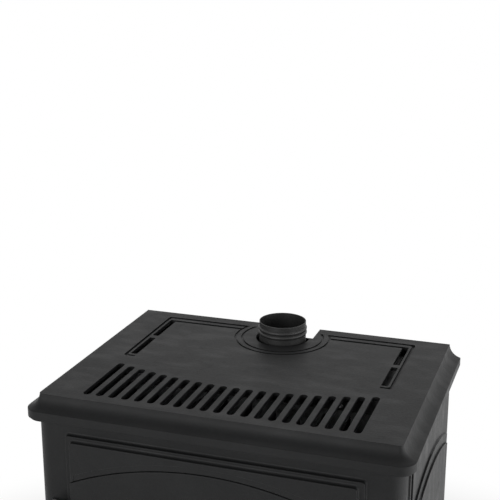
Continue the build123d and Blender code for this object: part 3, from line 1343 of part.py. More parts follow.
def hopper_guard():
    """Bars over the funnel that keep hands away from the screw."""
    z = DECK_BOTTOM - GUARD_DROP
    half = GUARD_BAR / 2
    x0, x1 = HOPPER_LEFT + HOPPER_SHEET + FIT, HOPPER_RIGHT - HOPPER_SHEET - FIT
    y0 = HOPPER_Y0 + HOPPER_SHEET + FIT
    y1 = FLUE_Y - FLUE_RADIUS - TUNNEL_GAP - HOPPER_SHEET - FIT
    frame = block(x0, x1, y0, y0 + GUARD_BAR, z - half, z + half)
    frame += block(x0, x1, y1 - GUARD_BAR, y1, z - half, z + half)
    for number in range(GUARD_BARS):
        x = x0 + half + (x1 - x0 - GUARD_BAR) * number / (GUARD_BARS - 1)
        frame += block(x - half, x + half, y0, y1, z - half, z + half)
    return frame


def auger_place():
    """Axis of the screw, from its low end up to the drop."""
    return Plane(
        origin=(AUGER_LOW_X, AUGER_Y, AUGER_LOW_Z),
        x_dir=(0, 1, 0),
        z_dir=(cos(radians(AUGER_SLOPE)), 0, sin(radians(AUGER_SLOPE))),
    )


def auger_z(x):
    """Height of the screw's axis at x."""
    return AUGER_LOW_Z + (x - AUGER_LOW_X) * tan(radians(AUGER_SLOPE))


def neck_outline(inset, top):
    """Front outline of the inlet neck, down to the screw's axis."""
    x0, x1 = THROAT_LEFT + inset, THROAT_RIGHT - inset
    return [(x0, auger_z(x0)), (x1, auger_z(x1)), (x1, top), (x0, top)]


def along_auger(radius, start, end):
    return auger_place() * (Pos(0, 0, (start + end) / 2) * Cylinder(radius, end - start))


def auger_tube():
    """Inclined tube with an inlet neck on top and a drop hole below."""
    wall = AUGER_WALL
    front, back = AUGER_Y - THROAT_HALF, AUGER_Y + THROAT_HALF
    tube = along_auger(AUGER_RADIUS, 0, AUGER_LENGTH)
    tube += prism_y(neck_outline(0, THROAT_Z - FIT), front, back)
    tube -= along_auger(AUGER_RADIUS - wall, AUGER_END, AUGER_LENGTH - AUGER_END)
    tube -= prism_y(neck_outline(wall, THROAT_Z + FIT), front + wall, back - wall)
    half = CHUTE_HALF - CHUTE_WALL
    low = auger_z(0) - 2 * AUGER_RADIUS
    tube -= block(-half, half, AUGER_Y - DROP_HALF, AUGER_Y + DROP_HALF, low, auger_z(0))
    return tube - along_auger(SCREW_SHAFT + RUNNING, -FIT, AUGER_LENGTH + FIT)


def auger_screw():
    """Core with a helical flight and a journal at each end."""
    start = AUGER_END + FIT
    end = AUGER_LENGTH - AUGER_END - FIT
    shaft = along_auger(SCREW_SHAFT, -GEARBOX_LENGTH / 2, AUGER_LENGTH)
    core = along_auger(SCREW_CORE, start, end)
    rise = end - start - 2 * SCREW_THICK - SCREW_PITCH / 4
    path = Helix(pitch=SCREW_PITCH, height=rise, radius=SCREW_CORE - FIT)
    depth = SCREW_RADIUS - SCREW_CORE + FIT
    place = Plane(origin=path @ 0, x_dir=(1, 0, 0), z_dir=path % 0)
    flight = sweep(place * Pos(depth / 2, 0) * Rectangle(depth, SCREW_THICK), path, is_frenet=True)
    return shaft + core + auger_place() * (Pos(0, 0, start + SCREW_THICK) * flight)


def auger_motor():
    """Gearbox and motor at the low end of the tube."""
    end = -FIT - GEARBOX_LENGTH
    gearbox = auger_place() * (Pos(0, 0, end + GEARBOX_LENGTH / 2) * Box(GEARBOX, GEARBOX, GEARBOX_LENGTH))
    drive = gearbox + along_auger(GEAR_MOTOR_RADIUS, end - GEAR_MOTOR_LENGTH, end)
    return drive - along_auger(SCREW_SHAFT + RUNNING, -GEARBOX_LENGTH / 2 - FIT, 0)


def drop_chute():
    wall = CHUTE_WALL
    chute = prism_x(chute_profile(0), -CHUTE_HALF, CHUTE_HALF)
    back = AUGER_Y + CHUTE_BACK - wall
    front = AUGER_Y - CHUTE_FRONT + wall
    end = CHUTE_END_Y
    low = CHUTE_KNEE + wall
    inner = [
        (back, CHUTE_KNEE + 2 * CHUTE_FRONT),
        (back, low),
        (end - wall, low - (back - end + wall)),
        (end - wall, CHUTE_KNEE + CHUTE_TALL - wall - (back - end + wall)),
        (front, CHUTE_KNEE + CHUTE_TALL - wall - (back - front)),
        (front, CHUTE_KNEE + 2 * CHUTE_FRONT),
    ]
    chute -= prism_x(inner, -CHUTE_HALF + wall, CHUTE_HALF - wall)
    return chute - along_auger(AUGER_RADIUS + FIT, -AUGER_RADIUS, AUGER_LENGTH + 2 * AUGER_RADIUS)


# ---------------------------------------------------------------- warm-air fan and air intake
def room_blower_housing():
    """Case of the cross-flow fan: inlet at the back, outlet up into the duct, a foot at each end."""
    y0 = FIREBOX_BACK + FIT
    y1 = y0 + BLOWER_BACK
    wall = BLOWER_SHEET
    half = BLOWER_HALF
    inner = half - wall
    case = block(-half, half, y0, y1, BLOWER_BOTTOM, BLOWER_TOP)
    case -= block(-inner, inner, y0 + wall, y1 - wall, BLOWER_BOTTOM + wall, BLOWER_TOP - wall)
    case -= block(-inner, inner, y0 + wall, DUCT_BACK - AIR_SHEET, BLOWER_TOP - 2 * wall, BLOWER_TOP + wall)
    case -= block(-inner, inner, y1 - 2 * wall, y1 + wall, BLOWER_BOTTOM + wall, WHEEL_Z + WHEEL_RADIUS)
    for x in (-half, half - BLOWER_FOOT):
        case += block(x, x + BLOWER_FOOT, y0, y1, BASE_TOP, BLOWER_BOTTOM)
    return case - rod_x(SHAFT_RADIUS + RUNNING, -half - FIT, half + FIT, WHEEL_Y, WHEEL_Z)


def room_blower_wheel():
    """Long drum of blades between two end discs."""
    half = BLOWER_HALF - BLOWER_SHEET - 2 * FIT
    wheel = rod_x(SHAFT_RADIUS, -BLOWER_HALF, BLOWER_HALF + BLOWER_MOTOR_LENGTH / 2, WHEEL_Y, WHEEL_Z)
    for x in (-half, half - WHEEL_DISC):
        wheel += rod_x(WHEEL_RADIUS, x, x + WHEEL_DISC, WHEEL_Y, WHEEL_Z)
    blades = []
    for number in range(WHEEL_BLADES):
        low = WHEEL_Z + WHEEL_RADIUS - WHEEL_BLADE_DEPTH
        front = WHEEL_Y - WHEEL_BLADE_THICK / 2
        blade = block(-half, half, front, front + WHEEL_BLADE_THICK, low, WHEEL_Z + WHEEL_RADIUS - FIT)
        blades.append(blade.rotate(Axis((0, WHEEL_Y, WHEEL_Z), (1, 0, 0)), number * 360 / WHEEL_BLADES))
    return wheel + blades


def room_blower_motor():
    low = BLOWER_HALF + FIT
    motor = rod_x(BLOWER_MOTOR_RADIUS, low, low + BLOWER_MOTOR_LENGTH, WHEEL_Y, WHEEL_Z)
    bore_end = BLOWER_HALF + BLOWER_MOTOR_LENGTH / 2 + FIT
    return motor - rod_x(SHAFT_RADIUS + RUNNING, low - FIT, bore_end, WHEEL_Y, WHEEL_Z)


def air_intake_pipe():
    front, back = FIREBOX_BACK - PLATE_STEEL, BODY_BACK + INTAKE_REACH
    stop = BODY_BACK + FIT
    pipe = rod_y(INTAKE_RADIUS, front, back, INTAKE_X, INTAKE_Z)
    pipe += rod_y(INTAKE_RADIUS + INTAKE_STOP, stop, stop + INTAKE_STOP, INTAKE_X, INTAKE_Z)
    return pipe - rod_y(INTAKE_RADIUS - INTAKE_WALL, front - FIT, back + FIT, INTAKE_X, INTAKE_Z)


# ---------------------------------------------------------------- electrics
def control_box():
    """Box of the control board, hung on the right side panel."""
    y0 = TOP_Y + BOX_FRONT
    box = block(BOX_LEFT, BOX_LEFT + BOX_WIDTH, y0, y0 + BOX_DEPTH, BOX_BOTTOM, BOX_BOTTOM + BOX_HEIGHT)
    wall = BOX_WALL
    box -= block(
        BOX_LEFT + wall,
        BOX_LEFT + BOX_WIDTH - wall,
        y0 + wall,
        y0 + BOX_DEPTH - wall,
        BOX_BOTTOM + wall,
        BOX_BOTTOM + BOX_HEIGHT - wall,
    )
    bracket = block(
        BOX_LEFT + BOX_WIDTH - wall, BODY_INNER - FIT, y0, y0 + BOX_DEPTH, BOX_BOTTOM, BOX_BOTTOM + BOX_WIDTH
    )
    return box + bracket


def pressure_switch():
    """Round diaphragm switch on top of the control box."""
    x = BOX_LEFT + BOX_WIDTH / 2
    y = TOP_Y + BOX_FRONT + BOX_DEPTH / 2
    z = BOX_BOTTOM + BOX_HEIGHT + FIT
    body = rod_z(SWITCH_RADIUS, z, z + SWITCH_DEPTH, x, y)
    body = fillet(body.edges().group_by(Axis.Z)[-1], DOOR_ROUND)
    return body + rod_z(NOZZLE_RADIUS, z + SWITCH_DEPTH, z + SWITCH_DEPTH + NOZZLE_LENGTH, x, y)


def console_y(distance):
    return TOP_Y + CONSOLE_FRONT + distance


def button_places():
    count = len(BUTTON_NAMES)
    return [(CONSOLE_X, console_y(BUTTON_FIRST + number * BUTTON_PITCH)) for number in range(count)]


def display_limits():
    end = console_y(CONSOLE_LENGTH - BUTTON_PITCH / 2)
    half = DISPLAY_WIDTH / 2
    return CONSOLE_X - half, CONSOLE_X + half, end - DISPLAY_LENGTH, end


def control_panel():
    """Low console on the deck beside the hopper mouth."""
    z1 = BODY_TOP + CONSOLE_HEIGHT
    console = block(
        CONSOLE_LEFT, CONSOLE_LEFT + CONSOLE_WIDTH, console_y(0), console_y(CONSOLE_LENGTH), BODY_TOP, z1
    )
    console = fillet(upright_edges(console), CONSOLE_ROUND)
    console = fillet(console.edges().group_by(Axis.Z)[-1], CONSOLE_ROUND / 2)
    for x, y in button_places():
        console -= rod_z(BUTTON_RADIUS + FIT, z1 - BUTTON_HEIGHT - BUTTON_PROUD, z1 + FIT, x, y)
    x0, x1, y0, y1 = display_limits()
    return console - block(x0, x1, y0, y1, z1 - DISPLAY_THICK, z1 + FIT)


def control_display():
    x0, x1, y0, y1 = display_limits()
    z1 = BODY_TOP + CONSOLE_HEIGHT
    return block(x0 + FIT, x1 - FIT, y0 + FIT, y1 - FIT, z1 - DISPLAY_THICK, z1 - FIT)


def button(number):
    x, y = button_places()[number]
    top = BODY_TOP + CONSOLE_HEIGHT + BUTTON_PROUD
    cap = rod_z(BUTTON_RADIUS, top - BUTTON_HEIGHT - FIT, top, x, y)
    return fillet(cap.edges().group_by(Axis.Z)[-1], BUTTON_PROUD / 2)


def inlet_block(inset, y_front, y_back):
    """Rectangle of the mains inlet, drawn in by inset."""
    half, rise = INLET_WIDTH / 2 - inset, INLET_HEIGHT / 2 - inset
    return block(INLET_X - half, INLET_X + half, y_front, y_back, INLET_Z - rise, INLET_Z + rise)


def power_inlet():
    """Mains socket and switch frame in the rear panel."""
    back = BODY_BACK + INLET_FACE
    inlet = fillet(depth_edges(inlet_block(0, BODY_BACK, back)), INLET_FACE)
    inlet += inlet_block(INLET_FACE + FIT, BODY_BACK - INLET_DEPTH, BODY_BACK)
    half, rise = SOCKET_WIDTH / 2, SOCKET_HEIGHT / 2
    x = socket_x()
    inlet -= block(x - half, x + half, back - SOCKET_DEPTH, back + FIT, INLET_Z - rise, INLET_Z + rise)
    half, rise = ROCKER_WIDTH / 2 + FIT, ROCKER_HEIGHT / 2 + INLET_FACE / 2
    x = rocker_x()
    deep = back - 2 * ROCKER_DEPTH
    return inlet - block(x - half, x + half, deep, back + FIT, INLET_Z - rise, INLET_Z + rise)


def socket_x():
    return INLET_X - INLET_WIDTH / 2 + INLET_FACE * 2 + SOCKET_WIDTH / 2


def rocker_x():
    return INLET_X + INLET_WIDTH / 2 - INLET_FACE * 2 - ROCKER_WIDTH / 2


def rocker_axis_y():
    return BODY_BACK + INLET_FACE - ROCKER_DEPTH / 2


def power_rocker():
    x = rocker_x()
    half, rise = ROCKER_WIDTH / 2, ROCKER_HEIGHT / 2
    y0 = rocker_axis_y() - ROCKER_DEPTH / 2
    cap = block(x - half, x + half, y0, y0 + ROCKER_DEPTH, INLET_Z - rise, INLET_Z + rise)
    cap = fillet(cap.edges().filter_by(Axis.X).group_by(Axis.Y)[-1], ROCKER_DEPTH / 4)
    return cap.rotate(Axis((x, rocker_axis_y(), INLET_Z), (1, 0, 0)), -ROCKER_TILT)


# ---------------------------------------------------------------- screws
def casing_screws():
    """Heads on the deck, the flue flange and the rear panel."""
    screws = []
    deck_x = BODY_INNER - DECK_SCREW_INSET
    for x in (-deck_x, deck_x):
        for y in (FACADE_BACK + DECK_SCREW_Y, BODY_BACK - DECK_SCREW_Y):
            screws.append(screw_up(x, y, BODY_TOP))
    for x in (-DUCT_SCREW_X, DUCT_SCREW_X):
        screws.append(screw_up(x, FIREBOX_BACK - DUCT_SCREW_Y, BODY_TOP))
    radius = FLUE_RADIUS + COLLAR_FLANGE / 2
    for number in range(FLANGE_SCREWS):
        angle = radians(90 + number * 360 / FLANGE_SCREWS)
        screws.append(screw_up(radius * cos(angle), FLUE_Y - radius * sin(angle), BODY_TOP + FLANGE_THICK))
    edge_x = BODY_INNER - TRACK_WIDTH
    low, high = BASE_TOP + TRACK_WIDTH, DECK_BOTTOM - TRACK_WIDTH
    for x in (-edge_x, edge_x):
        for z in (low, (low + high) / 2, high):
            screws.append(screw_back(x, BODY_BACK, z))
    return group(screws)


PARTS = {
    "top_plate": top_plate,
    "top_runners": top_runners,
    "top_rails": top_rails,
    "base_plate": base_plate,
    "levelling_feet": levelling_feet,
    "front_facade": front_facade,
    "side_panel_left": side_panel_left,
    "side_panel_right": side_panel_right,
    "rear_panel": rear_panel,
    "top_deck": top_deck,
    "casing_screws": casing_screws,
    "fire_door": fire_door,
    "door_glass": door_glass,
    "glass_seal": glass_seal,
    "door_seal": door_seal,
    "glass_clips": glass_clips,
    "hinge_brackets": hinge_brackets,
    "hinge_pins": hinge_pins,
    "door_handle": door_handle,
    "handle_grip": handle_grip,
    "latch_cam": latch_cam,
    "latch_keeper": latch_keeper,
    "ash_drawer_front": ash_drawer_front,
    "ash_pan": ash_pan,
    "ash_drawer_knob": ash_drawer_knob,
    "ash_drawer_runners": ash_drawer_runners,
    "firebox": firebox,
    "fireback": fireback,
    "baffle_plate": baffle_plate,
    "heat_exchanger_fins": heat_exchanger_fins,
    "air_duct": air_duct,
    "hot_air_hood": hot_air_hood,
    "burn_pot_holder": burn_pot_holder,
    "burn_pot": burn_pot,
    "igniter": igniter,
    "flue_collar": flue_collar,
    "flue_riser": flue_riser,
    "exhaust_fan_housing": exhaust_fan_housing,
    "exhaust_impeller": exhaust_impeller,
    "exhaust_fan_motor": exhaust_fan_motor,
    "smoke_box": smoke_box,
    "hopper": hopper,
    "hopper_guard": hopper_guard,
    "auger_tube": auger_tube,
    "auger_screw": auger_screw,
    "auger_motor": auger_motor,
    "drop_chute": drop_chute,
    "room_blower_housing": room_blower_housing,
    "room_blower_wheel": room_blower_wheel,
    "room_blower_motor": room_blower_motor,
    "air_intake_pipe": air_intake_pipe,
    "control_box": control_box,
    "pressure_switch": pressure_switch,
    "control_panel": control_panel,
    "control_display": control_display,
    "power_inlet": power_inlet,
    "power_rocker": power_rocker,
}


def main():
    os.makedirs("parts", exist_ok=True)
    for name, make in PARTS.items():
        export_step(make(), f"parts/{name}.step")
    for number, name in enumerate(BUTTON_NAMES):
        export_step(button(number), f"parts/{name}.step")


if __name__ == "__main__":
    main()
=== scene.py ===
import json
import math

import bmesh
import bpy
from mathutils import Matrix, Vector


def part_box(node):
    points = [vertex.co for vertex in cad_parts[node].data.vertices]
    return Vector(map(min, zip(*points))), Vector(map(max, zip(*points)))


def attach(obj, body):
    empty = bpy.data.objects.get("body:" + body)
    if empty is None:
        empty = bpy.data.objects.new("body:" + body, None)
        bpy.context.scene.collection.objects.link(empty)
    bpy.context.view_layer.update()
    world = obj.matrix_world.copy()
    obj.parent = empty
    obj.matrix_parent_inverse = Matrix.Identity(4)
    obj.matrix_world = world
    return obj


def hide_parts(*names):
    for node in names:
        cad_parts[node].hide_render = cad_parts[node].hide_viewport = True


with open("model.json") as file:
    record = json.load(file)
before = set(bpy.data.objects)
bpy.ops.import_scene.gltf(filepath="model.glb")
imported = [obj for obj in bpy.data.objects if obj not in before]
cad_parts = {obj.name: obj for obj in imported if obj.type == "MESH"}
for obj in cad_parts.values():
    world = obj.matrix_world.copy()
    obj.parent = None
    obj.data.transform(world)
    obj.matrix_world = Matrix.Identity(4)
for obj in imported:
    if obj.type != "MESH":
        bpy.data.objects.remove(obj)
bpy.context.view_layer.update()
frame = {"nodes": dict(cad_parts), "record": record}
NODES = frame["nodes"]
NODES_OF_BODY = frame["record"]["behaviour"]["bodies"]
BODY_OF_NODE = {node: body for body, nodes in NODES_OF_BODY.items() for node in nodes}
SLOT_OF_NODE = {part["node"]: part["material_slot"] for part in frame["record"]["subparts"]}

# ---------------------------------------------------------------- viewpoint and light
CAMERA_PLACE = (0.5104, -1.5021, 1.45325)
CAMERA_TURN = math.radians(18.8)
CAMERA_DIP = math.radians(15.87)
CAMERA_LENS = 77.76
CAMERA_NEAR = 0.05
CAMERA_FAR = 60.0
SENSOR = 36.0
WHITE = (1, 1, 1, 1)
ROOM_LIGHT = 0.36           # strength of the white room on rough surfaces
BACKDROP = 1.0              # strength of white, as the camera, metal and glass see it
CEILING_LOW = 0.35          # rise of a line of sight where the room begins to darken upward
CEILING_HIGH = 0.85         # and where it is darkest
CEILING_DIM = 0.75          # how much darker the ceiling is than the walls, as polished things show it
FLOOR_TONE = (0.80, 0.80, 0.80, 1)
FLOOR_ROUGHNESS = 0.7
FLOOR_RADIUS = 14.0
FLOOR_STEPS = 96            # straight edges round the floor's disc
FLOOR_NEAR = 0.75           # the floor keeps its shading inside this radius
FLOOR_FAR = 1.35            # and is plain white beyond this one
# name, place, aim, width, height, power in watts
LAMPS = (
    ("side_lamp", (1.5, -0.08, 0.64), (0.0, -0.08, 0.64), 1.9, 1.24, 20.0),
    ("top_lamp", (0.1, 0.9, 2.7), (0.0, 0.05, 0.6), 2.0, 2.0, 13.0),
    ("front_lamp", (-1.0, -2.7, 1.3), (0.0, 0.0, 0.5), 1.8, 1.8, 38.0),
)

# ---------------------------------------------------------------- sizes of the pieces, in metres
MERGE = 2e-6                # loose corners of a CAD mesh that are this close are one corner

# width of the softened edges of each casting
CASTINGS = {
    "top_plate": 0.0008,
    "front_facade": 0.0008,
    "fire_door": 0.0007,
    "ash_drawer_front": 0.0008,
    "side_panel_left": 0.0008,
    "side_panel_right": 0.0008,
    "base_plate": 0.001,
}
CASTING_FLAT = math.radians(0.4)        # faces that turn less than this are one flat face
CASTING_CORNER = math.radians(40)       # edges that turn more than this are softened
CASTING_CREASE = math.radians(38)       # and edges that turn more than this stay crisp
TURNED_CREASE = math.radians(35)        # the same for turned pieces

ARCH_CENTRE = 0.187         # height of the middle of the door's arch, as in the CAD
ARCH_STEPS = 48             # straight lines along that arch
CORNER_POINTS = 6           # points of the rounding at each corner of a seal's line
YARN_FACETS = 5             # flat sides round a yarn
ROPE_WIDTH = 0.009
ROPE_YARN = 0.00128         # radius of a yarn of the plait
ROPE_INSET_WIDE = 0.0016    # from the rope's sides to the middle of its outermost yarns
ROPE_INSET_DEEP = 0.0015    # the same, from its front and back
TAPE_WIDTH = 0.008
TAPE_YARN = 0.00062         # radius of a yarn of the tape
TAPE_RISE = 0.00034         # how far a yarn of the tape waves out of its plane
TAPE_INSET = 0.0007         # from the tape's edge to the middle of its outermost yarn
TAPE_YARNS = 7              # side by side

SCREW_RADIUS = 0.0045
SCREW_TALL = 0.0025
SCREW_STEPS = 36            # straight edges round a head
SCREW_LOBES = 6
SCREW_LOBE_DEPTH = 0.05     # as a share of the head's radius
SCREW_RECESS = 6            # the ring of the profile where the recess begins
# rings of a turned piece, from the outside to the middle, as shares of its radius and height
SCREW_PROFILE = (
    (1, 0), (1, 0.34), (0.965, 0.58), (0.86, 0.8), (0.7, 0.94),
    (0.55, 1), (0.46, 1), (0.43, 0.93), (0.41, 0.35), (0, 0.25),
)
BUTTON_PROFILE = (
    (1, 0), (1, 0.82), (0.975, 0.92), (0.92, 0.985), (0.84, 1),
    (0.74, 0.985), (0.6, 0.93), (0.35, 0.885), (0.12, 0.87), (0, 0.868),
)
BUTTON_STEPS = 40           # straight edges round a button
BUTTONS = ("button_power", "button_down", "button_up")

GRIP_RIB = 0.0011           # depth of the grooves between the grip's ribs
GRIP_SLIMMER = 0.0006       # how much smaller the radius is at the ends than in the middle
# places along the grip, as shares of its length
GRIP_RIBS_LOW = 0.16        # where the ribs begin
GRIP_RIBS_HIGH = 0.84       # and where they end
GRIP_RIBS_FADE = 0.02       # over which they fade, to each side of those two places
GRIP_ROUND_LOW = 0.055      # length of the rounded end below
GRIP_ROUND_HIGH = 0.025     # and above
GRIP_TIP = 0.45             # share of the radius that is left at the very end
GROOVE_SHARPNESS = 0.45     # power of a wave: the smaller, the narrower the grooves
GRIP_LEAST = 0.0001         # keeps the root of the rounded ends away from zero


# ---------------------------------------------------------------- node trees, written as Python
# sockets of the Mix node, where it mixes colours
MIX_SHARE = 0
MIX_FIRST = 6
MIX_SECOND = 7
MIX_RESULT = 2


class Value:
    """A socket of a node tree. Sums written with it add Math nodes."""

    def __init__(self, nodes, socket):
        self.nodes = nodes
        self.socket = socket

    def __add__(self, other):
        return self.nodes.maths("ADD", self, other)

    def __sub__(self, other):
        return self.nodes.maths("SUBTRACT", self, other)

    def __rsub__(self, other):
        return self.nodes.maths("SUBTRACT", other, self)

    def __mul__(self, other):
        return self.nodes.maths("MULTIPLY", self, other)

    def __truediv__(self, other):
        return self.nodes.maths("DIVIDE", self, other)

    def __rtruediv__(self, other):
        return self.nodes.maths("DIVIDE", other, self)

    __radd__ = __add__
    __rmul__ = __mul__


class Nodes:
    """A node tree, with one method that adds any node."""

    def __init__(self, tree):
        self.tree = tree
        self.tree.nodes.clear()

    def feed(self, socket, value):
        """Links a value to a socket, or sets a constant on it."""
        if isinstance(value, Value):
            self.tree.links.new(value.socket, socket)
        else:
            socket.default_value = value

    def add(self, kind, settings=None, inputs=None):
        """Adds a node: first its settings, then the values or links of its sockets."""
        made = self.tree.nodes.new(kind)
        for name, value in (settings or {}).items():
            setattr(made, name, value)
        for key, value in (inputs or {}).items():
            self.feed(made.inputs[key], value)
        return made

    def node(self, kind, settings=None, inputs=None, output=0):
        """Adds a node and gives one of its outputs."""
        return Value(self, self.add(kind, settings, inputs).outputs[output])

    def other_output(self, value, name):
        """Another output of the node that a value comes from."""
        return Value(self, value.socket.node.outputs[name])

    def maths(self, operation, first, second=0.0):
        return self.node("ShaderNodeMath", {"operation": operation}, {0: first, 1: second})

    def between(self, value, low, high, bottom=0.0, top=1.0):
        """Smooth step from bottom to top as value goes from low to high."""
        settings = {"interpolation_type": "SMOOTHSTEP"}
        inputs = {"Value": value, "From Min": low, "From Max": high, "To Min": bottom, "To Max": top}
        return self.node("ShaderNodeMapRange", settings, inputs)

    def axis(self, letter, vector):
        return self.node("ShaderNodeSeparateXYZ", None, {"Vector": vector}, output=letter)

    def vectors(self, operation, first, second=None, scale=None):
        inputs = {0: first}
        if second is not None:
            inputs[1] = second
        if scale is not None:
            inputs["Scale"] = scale
        return self.node("ShaderNodeVectorMath", {"operation": operation}, inputs)


class Finish(Nodes):
    """A material with its shader. What is the same all over is a constant on the shader's own socket."""

    def __init__(self, name, constants=None):
        self.material = bpy.data.materials.new(name)
        self.material.use_nodes = True
        super().__init__(self.material.node_tree)
        self.shader = self.add("ShaderNodeBsdfPrincipled", None, constants)
        self.surface = Value(self, self.shader.outputs["BSDF"])
        self.output = self.add("ShaderNodeOutputMaterial", None, {"Surface": self.surface})
        self.place = self.node("ShaderNodeTexCoord", output="Object")

    def mix(self, share, first, second):
        inputs = {MIX_SHARE: share, MIX_FIRST: first, MIX_SECOND: second}
        return self.node("ShaderNodeMix", {"data_type": "RGBA"}, inputs, output=MIX_RESULT)

    def shade(self, colour, factor):
        """A colour made darker or lighter by a factor that varies."""
        grey = self.node("ShaderNodeCombineColor", None, {"Red": factor, "Green": factor, "Blue": factor})
        settings = {"data_type": "RGBA", "blend_type": "MULTIPLY"}
        inputs = {MIX_SHARE: 1.0, MIX_FIRST: colour, MIX_SECOND: grey}
        return self.node("ShaderNodeMix", settings, inputs, output=MIX_RESULT)

    def stretch(self, scale, turn=(0, 0, 0)):
        """The place on the object, drawn out or turned, for a pattern that isn't even."""
        inputs = {"Vector": self.place, "Rotation": turn, "Scale": scale}
        return self.node("ShaderNodeMapping", None, inputs)

    def noise(self, scale, detail=2.0, roughness=0.5, place=None, shift=0.0):
        inputs = {"Vector": place or self.place, "W": shift, "Scale": scale, "Detail": detail}
        inputs["Roughness"] = roughness
        return self.node("ShaderNodeTexNoise", {"noise_dimensions": "4D"}, inputs)

    def patches(self, scale, low, high, detail=4, **noise):
        """Soft-edged patches: 0 where the noise is under low, 1 where it is over high."""
        return self.between(self.noise(scale, detail=detail, **noise), low, high)

    def cells(self, scale, feature="F1", place=None, output="Distance"):
        inputs = {"Vector": place or self.place, "Scale": scale}
        return self.node("ShaderNodeTexVoronoi", {"feature": feature}, inputs, output=output)

    def threads(self, direction, scale):
        """Evenly spaced soft bands across one axis."""
        inputs = {"Vector": self.place, "Scale": scale}
        return self.node("ShaderNodeTexWave", {"bands_direction": direction}, inputs, output="Fac")

    def attribute(self, name):
        return self.node("ShaderNodeAttribute", {"attribute_name": name}, output="Fac")

    def bump(self, height, distance, strength):
        """Unevenness of the surface, with its depth in metres."""
        inputs = {"Strength": strength, "Distance": distance, "Height": height}
        return self.node("ShaderNodeBump", None, inputs)

    def finish(self, colour, roughness, normal=None, metallic=None):
        self.feed(self.shader.inputs["Base Color"], colour)
        self.feed(self.shader.inputs["Roughness"], roughness)
        if metallic is not None:
            self.feed(self.shader.inputs["Metallic"], metallic)
        if normal is not None:
            self.feed(self.shader.inputs["Normal"], normal)
        return self.material


def tone(level, warm=0.0):
    """A grey written as its sRGB level from 0 to 255, as the linear colour a shader takes."""
    def linear(shown):
        shown = shown / 255
        return shown / 12.92 if shown <= 0.04045 else ((shown + 0.055) / 1.055) ** 2.4
    return (linear(level + warm), linear(level), linear(level - warm), 1)


class Pattern(Nodes):
    """A Geometry Nodes tree with named sizes, run once and kept as a plain mesh."""

    KINDS = {int: "NodeSocketInt", float: "NodeSocketFloat", bpy.types.Object: "NodeSocketObject"}

    def __init__(self, name, **sizes):
        self.name = name
        super().__init__(bpy.data.node_groups.new(name, "GeometryNodeTree"))
        sockets = self.tree.interface
        sockets.new_socket("Geometry", in_out="INPUT", socket_type="NodeSocketGeometry")
        sockets.new_socket("Geometry", in_out="OUTPUT", socket_type="NodeSocketGeometry")
        self.sizes = []
        for key, value in sizes.items():
            socket = sockets.new_socket(key, in_out="INPUT", socket_type=self.KINDS[type(value)])
            self.sizes.append((socket.identifier, value))
        self.entry = self.add("NodeGroupInput")
        self.start = self.size("Geometry")

    def size(self, name):
        return Value(self, self.entry.outputs[name])

    def make(self, geometry, slot, source):
        """Runs the tree on a source mesh and gives the plain mesh."""
        real = self.node("GeometryNodeRealizeInstances", None, {"Geometry": geometry})
        done = self.node("GeometryNodeSetMaterial", None, {"Geometry": real, "Material": FINISHES[slot]})
        self.add("NodeGroupOutput", None, {"Geometry": done})
        carrier = bpy.data.objects.new(self.name, source)
        bpy.context.scene.collection.objects.link(carrier)
        modifier = carrier.modifiers.new(self.name, "NODES")
        modifier.node_group = self.tree
        for identifier, value in self.sizes:
            modifier[identifier] = value
        ready = carrier.evaluated_get(bpy.context.evaluated_depsgraph_get())
        mesh = bpy.data.meshes.new_from_object(ready)
        carrier.modifiers.remove(modifier)
        bpy.data.objects.remove(carrier)
        mesh.name = self.name
        return mesh


# ---------------------------------------------------------------- finishes of the stove
def stove_paint():
    """Matte heat-proof paint over sand-cast iron: casting grain, cloudy tone, and paler softened edges that
    are partly rubbed paint and partly a painted highlight.
    """
    look = Finish("stove_paint", {"Specular IOR Level": 0.16, "IOR": 1.45})
    clouds = look.patches(5.5, 0.3, 0.7, roughness=0.55)
    wiped = look.stretch((1, 2.6, 1), turn=(0, 0, 0.5))
    wipes = look.patches(16, 0.42, 0.72, detail=3, place=wiped, shift=3)
    dust = look.patches(60, 0.5, 0.75, detail=5, roughness=0.7, shift=7)
    uneven = look.between(look.noise(45, detail=3, shift=5), 0.35, 0.65, bottom=0.35)
    wear_and_edge_highlight = look.attribute("wear_and_edge_highlight") * uneven
    grain = look.noise(950, detail=3, roughness=0.6)
    sand = look.noise(260, detail=2, shift=2)
    level = clouds * 0.12 + wipes * 0.12 + dust * 0.14 + grain * 0.26 + sand * 0.36 + 0.52
    painted = look.shade(tone(33, -0.4), level)
    # The softened edges turn towards a paler grey: partly paint rubbed thin, partly a painted highlight
    # along each edge.
    colour = look.mix(wear_and_edge_highlight * 0.5, painted, tone(84))
    smoothed = 0.4 - clouds * 0.03 - wipes * 0.08
    roughness = smoothed + dust * 0.08 + grain * 0.08 + sand * 0.16 - wear_and_edge_highlight * 0.14
    normal = look.bump(grain * 0.5 + sand * 1.4, 0.00022, 0.7)
    return look.finish(colour, roughness, normal)


def fire_casting():
    """Bare cast iron inside the fire: soot, rust-brown heat marks and grey ash towards the bottom."""
    look = Finish("fire_casting", {"Specular IOR Level": 0.3})
    soot = look.patches(11, 0.35, 0.68, detail=5, roughness=0.65)
    heat = look.patches(7, 0.45, 0.7, detail=3, shift=4)
    low_down = look.between(look.axis("Z", look.place), 0.23, 0.36, bottom=1.0, top=0.0)
    ash = low_down * look.patches(38, 0.4, 0.7, detail=5, roughness=0.7)
    grain = look.noise(700, detail=3, roughness=0.6)
    bare = look.mix(heat * 0.55, tone(58, 1), tone(70, 9))
    sooted = look.mix(soot, bare, tone(30, 1))
    colour = look.mix(ash * 0.6, sooted, tone(140, 3))
    normal = look.bump(grain + soot * 0.4, 0.00022, 0.6)
    return look.finish(colour, 0.8 + ash * 0.12 - heat * 0.1, normal)


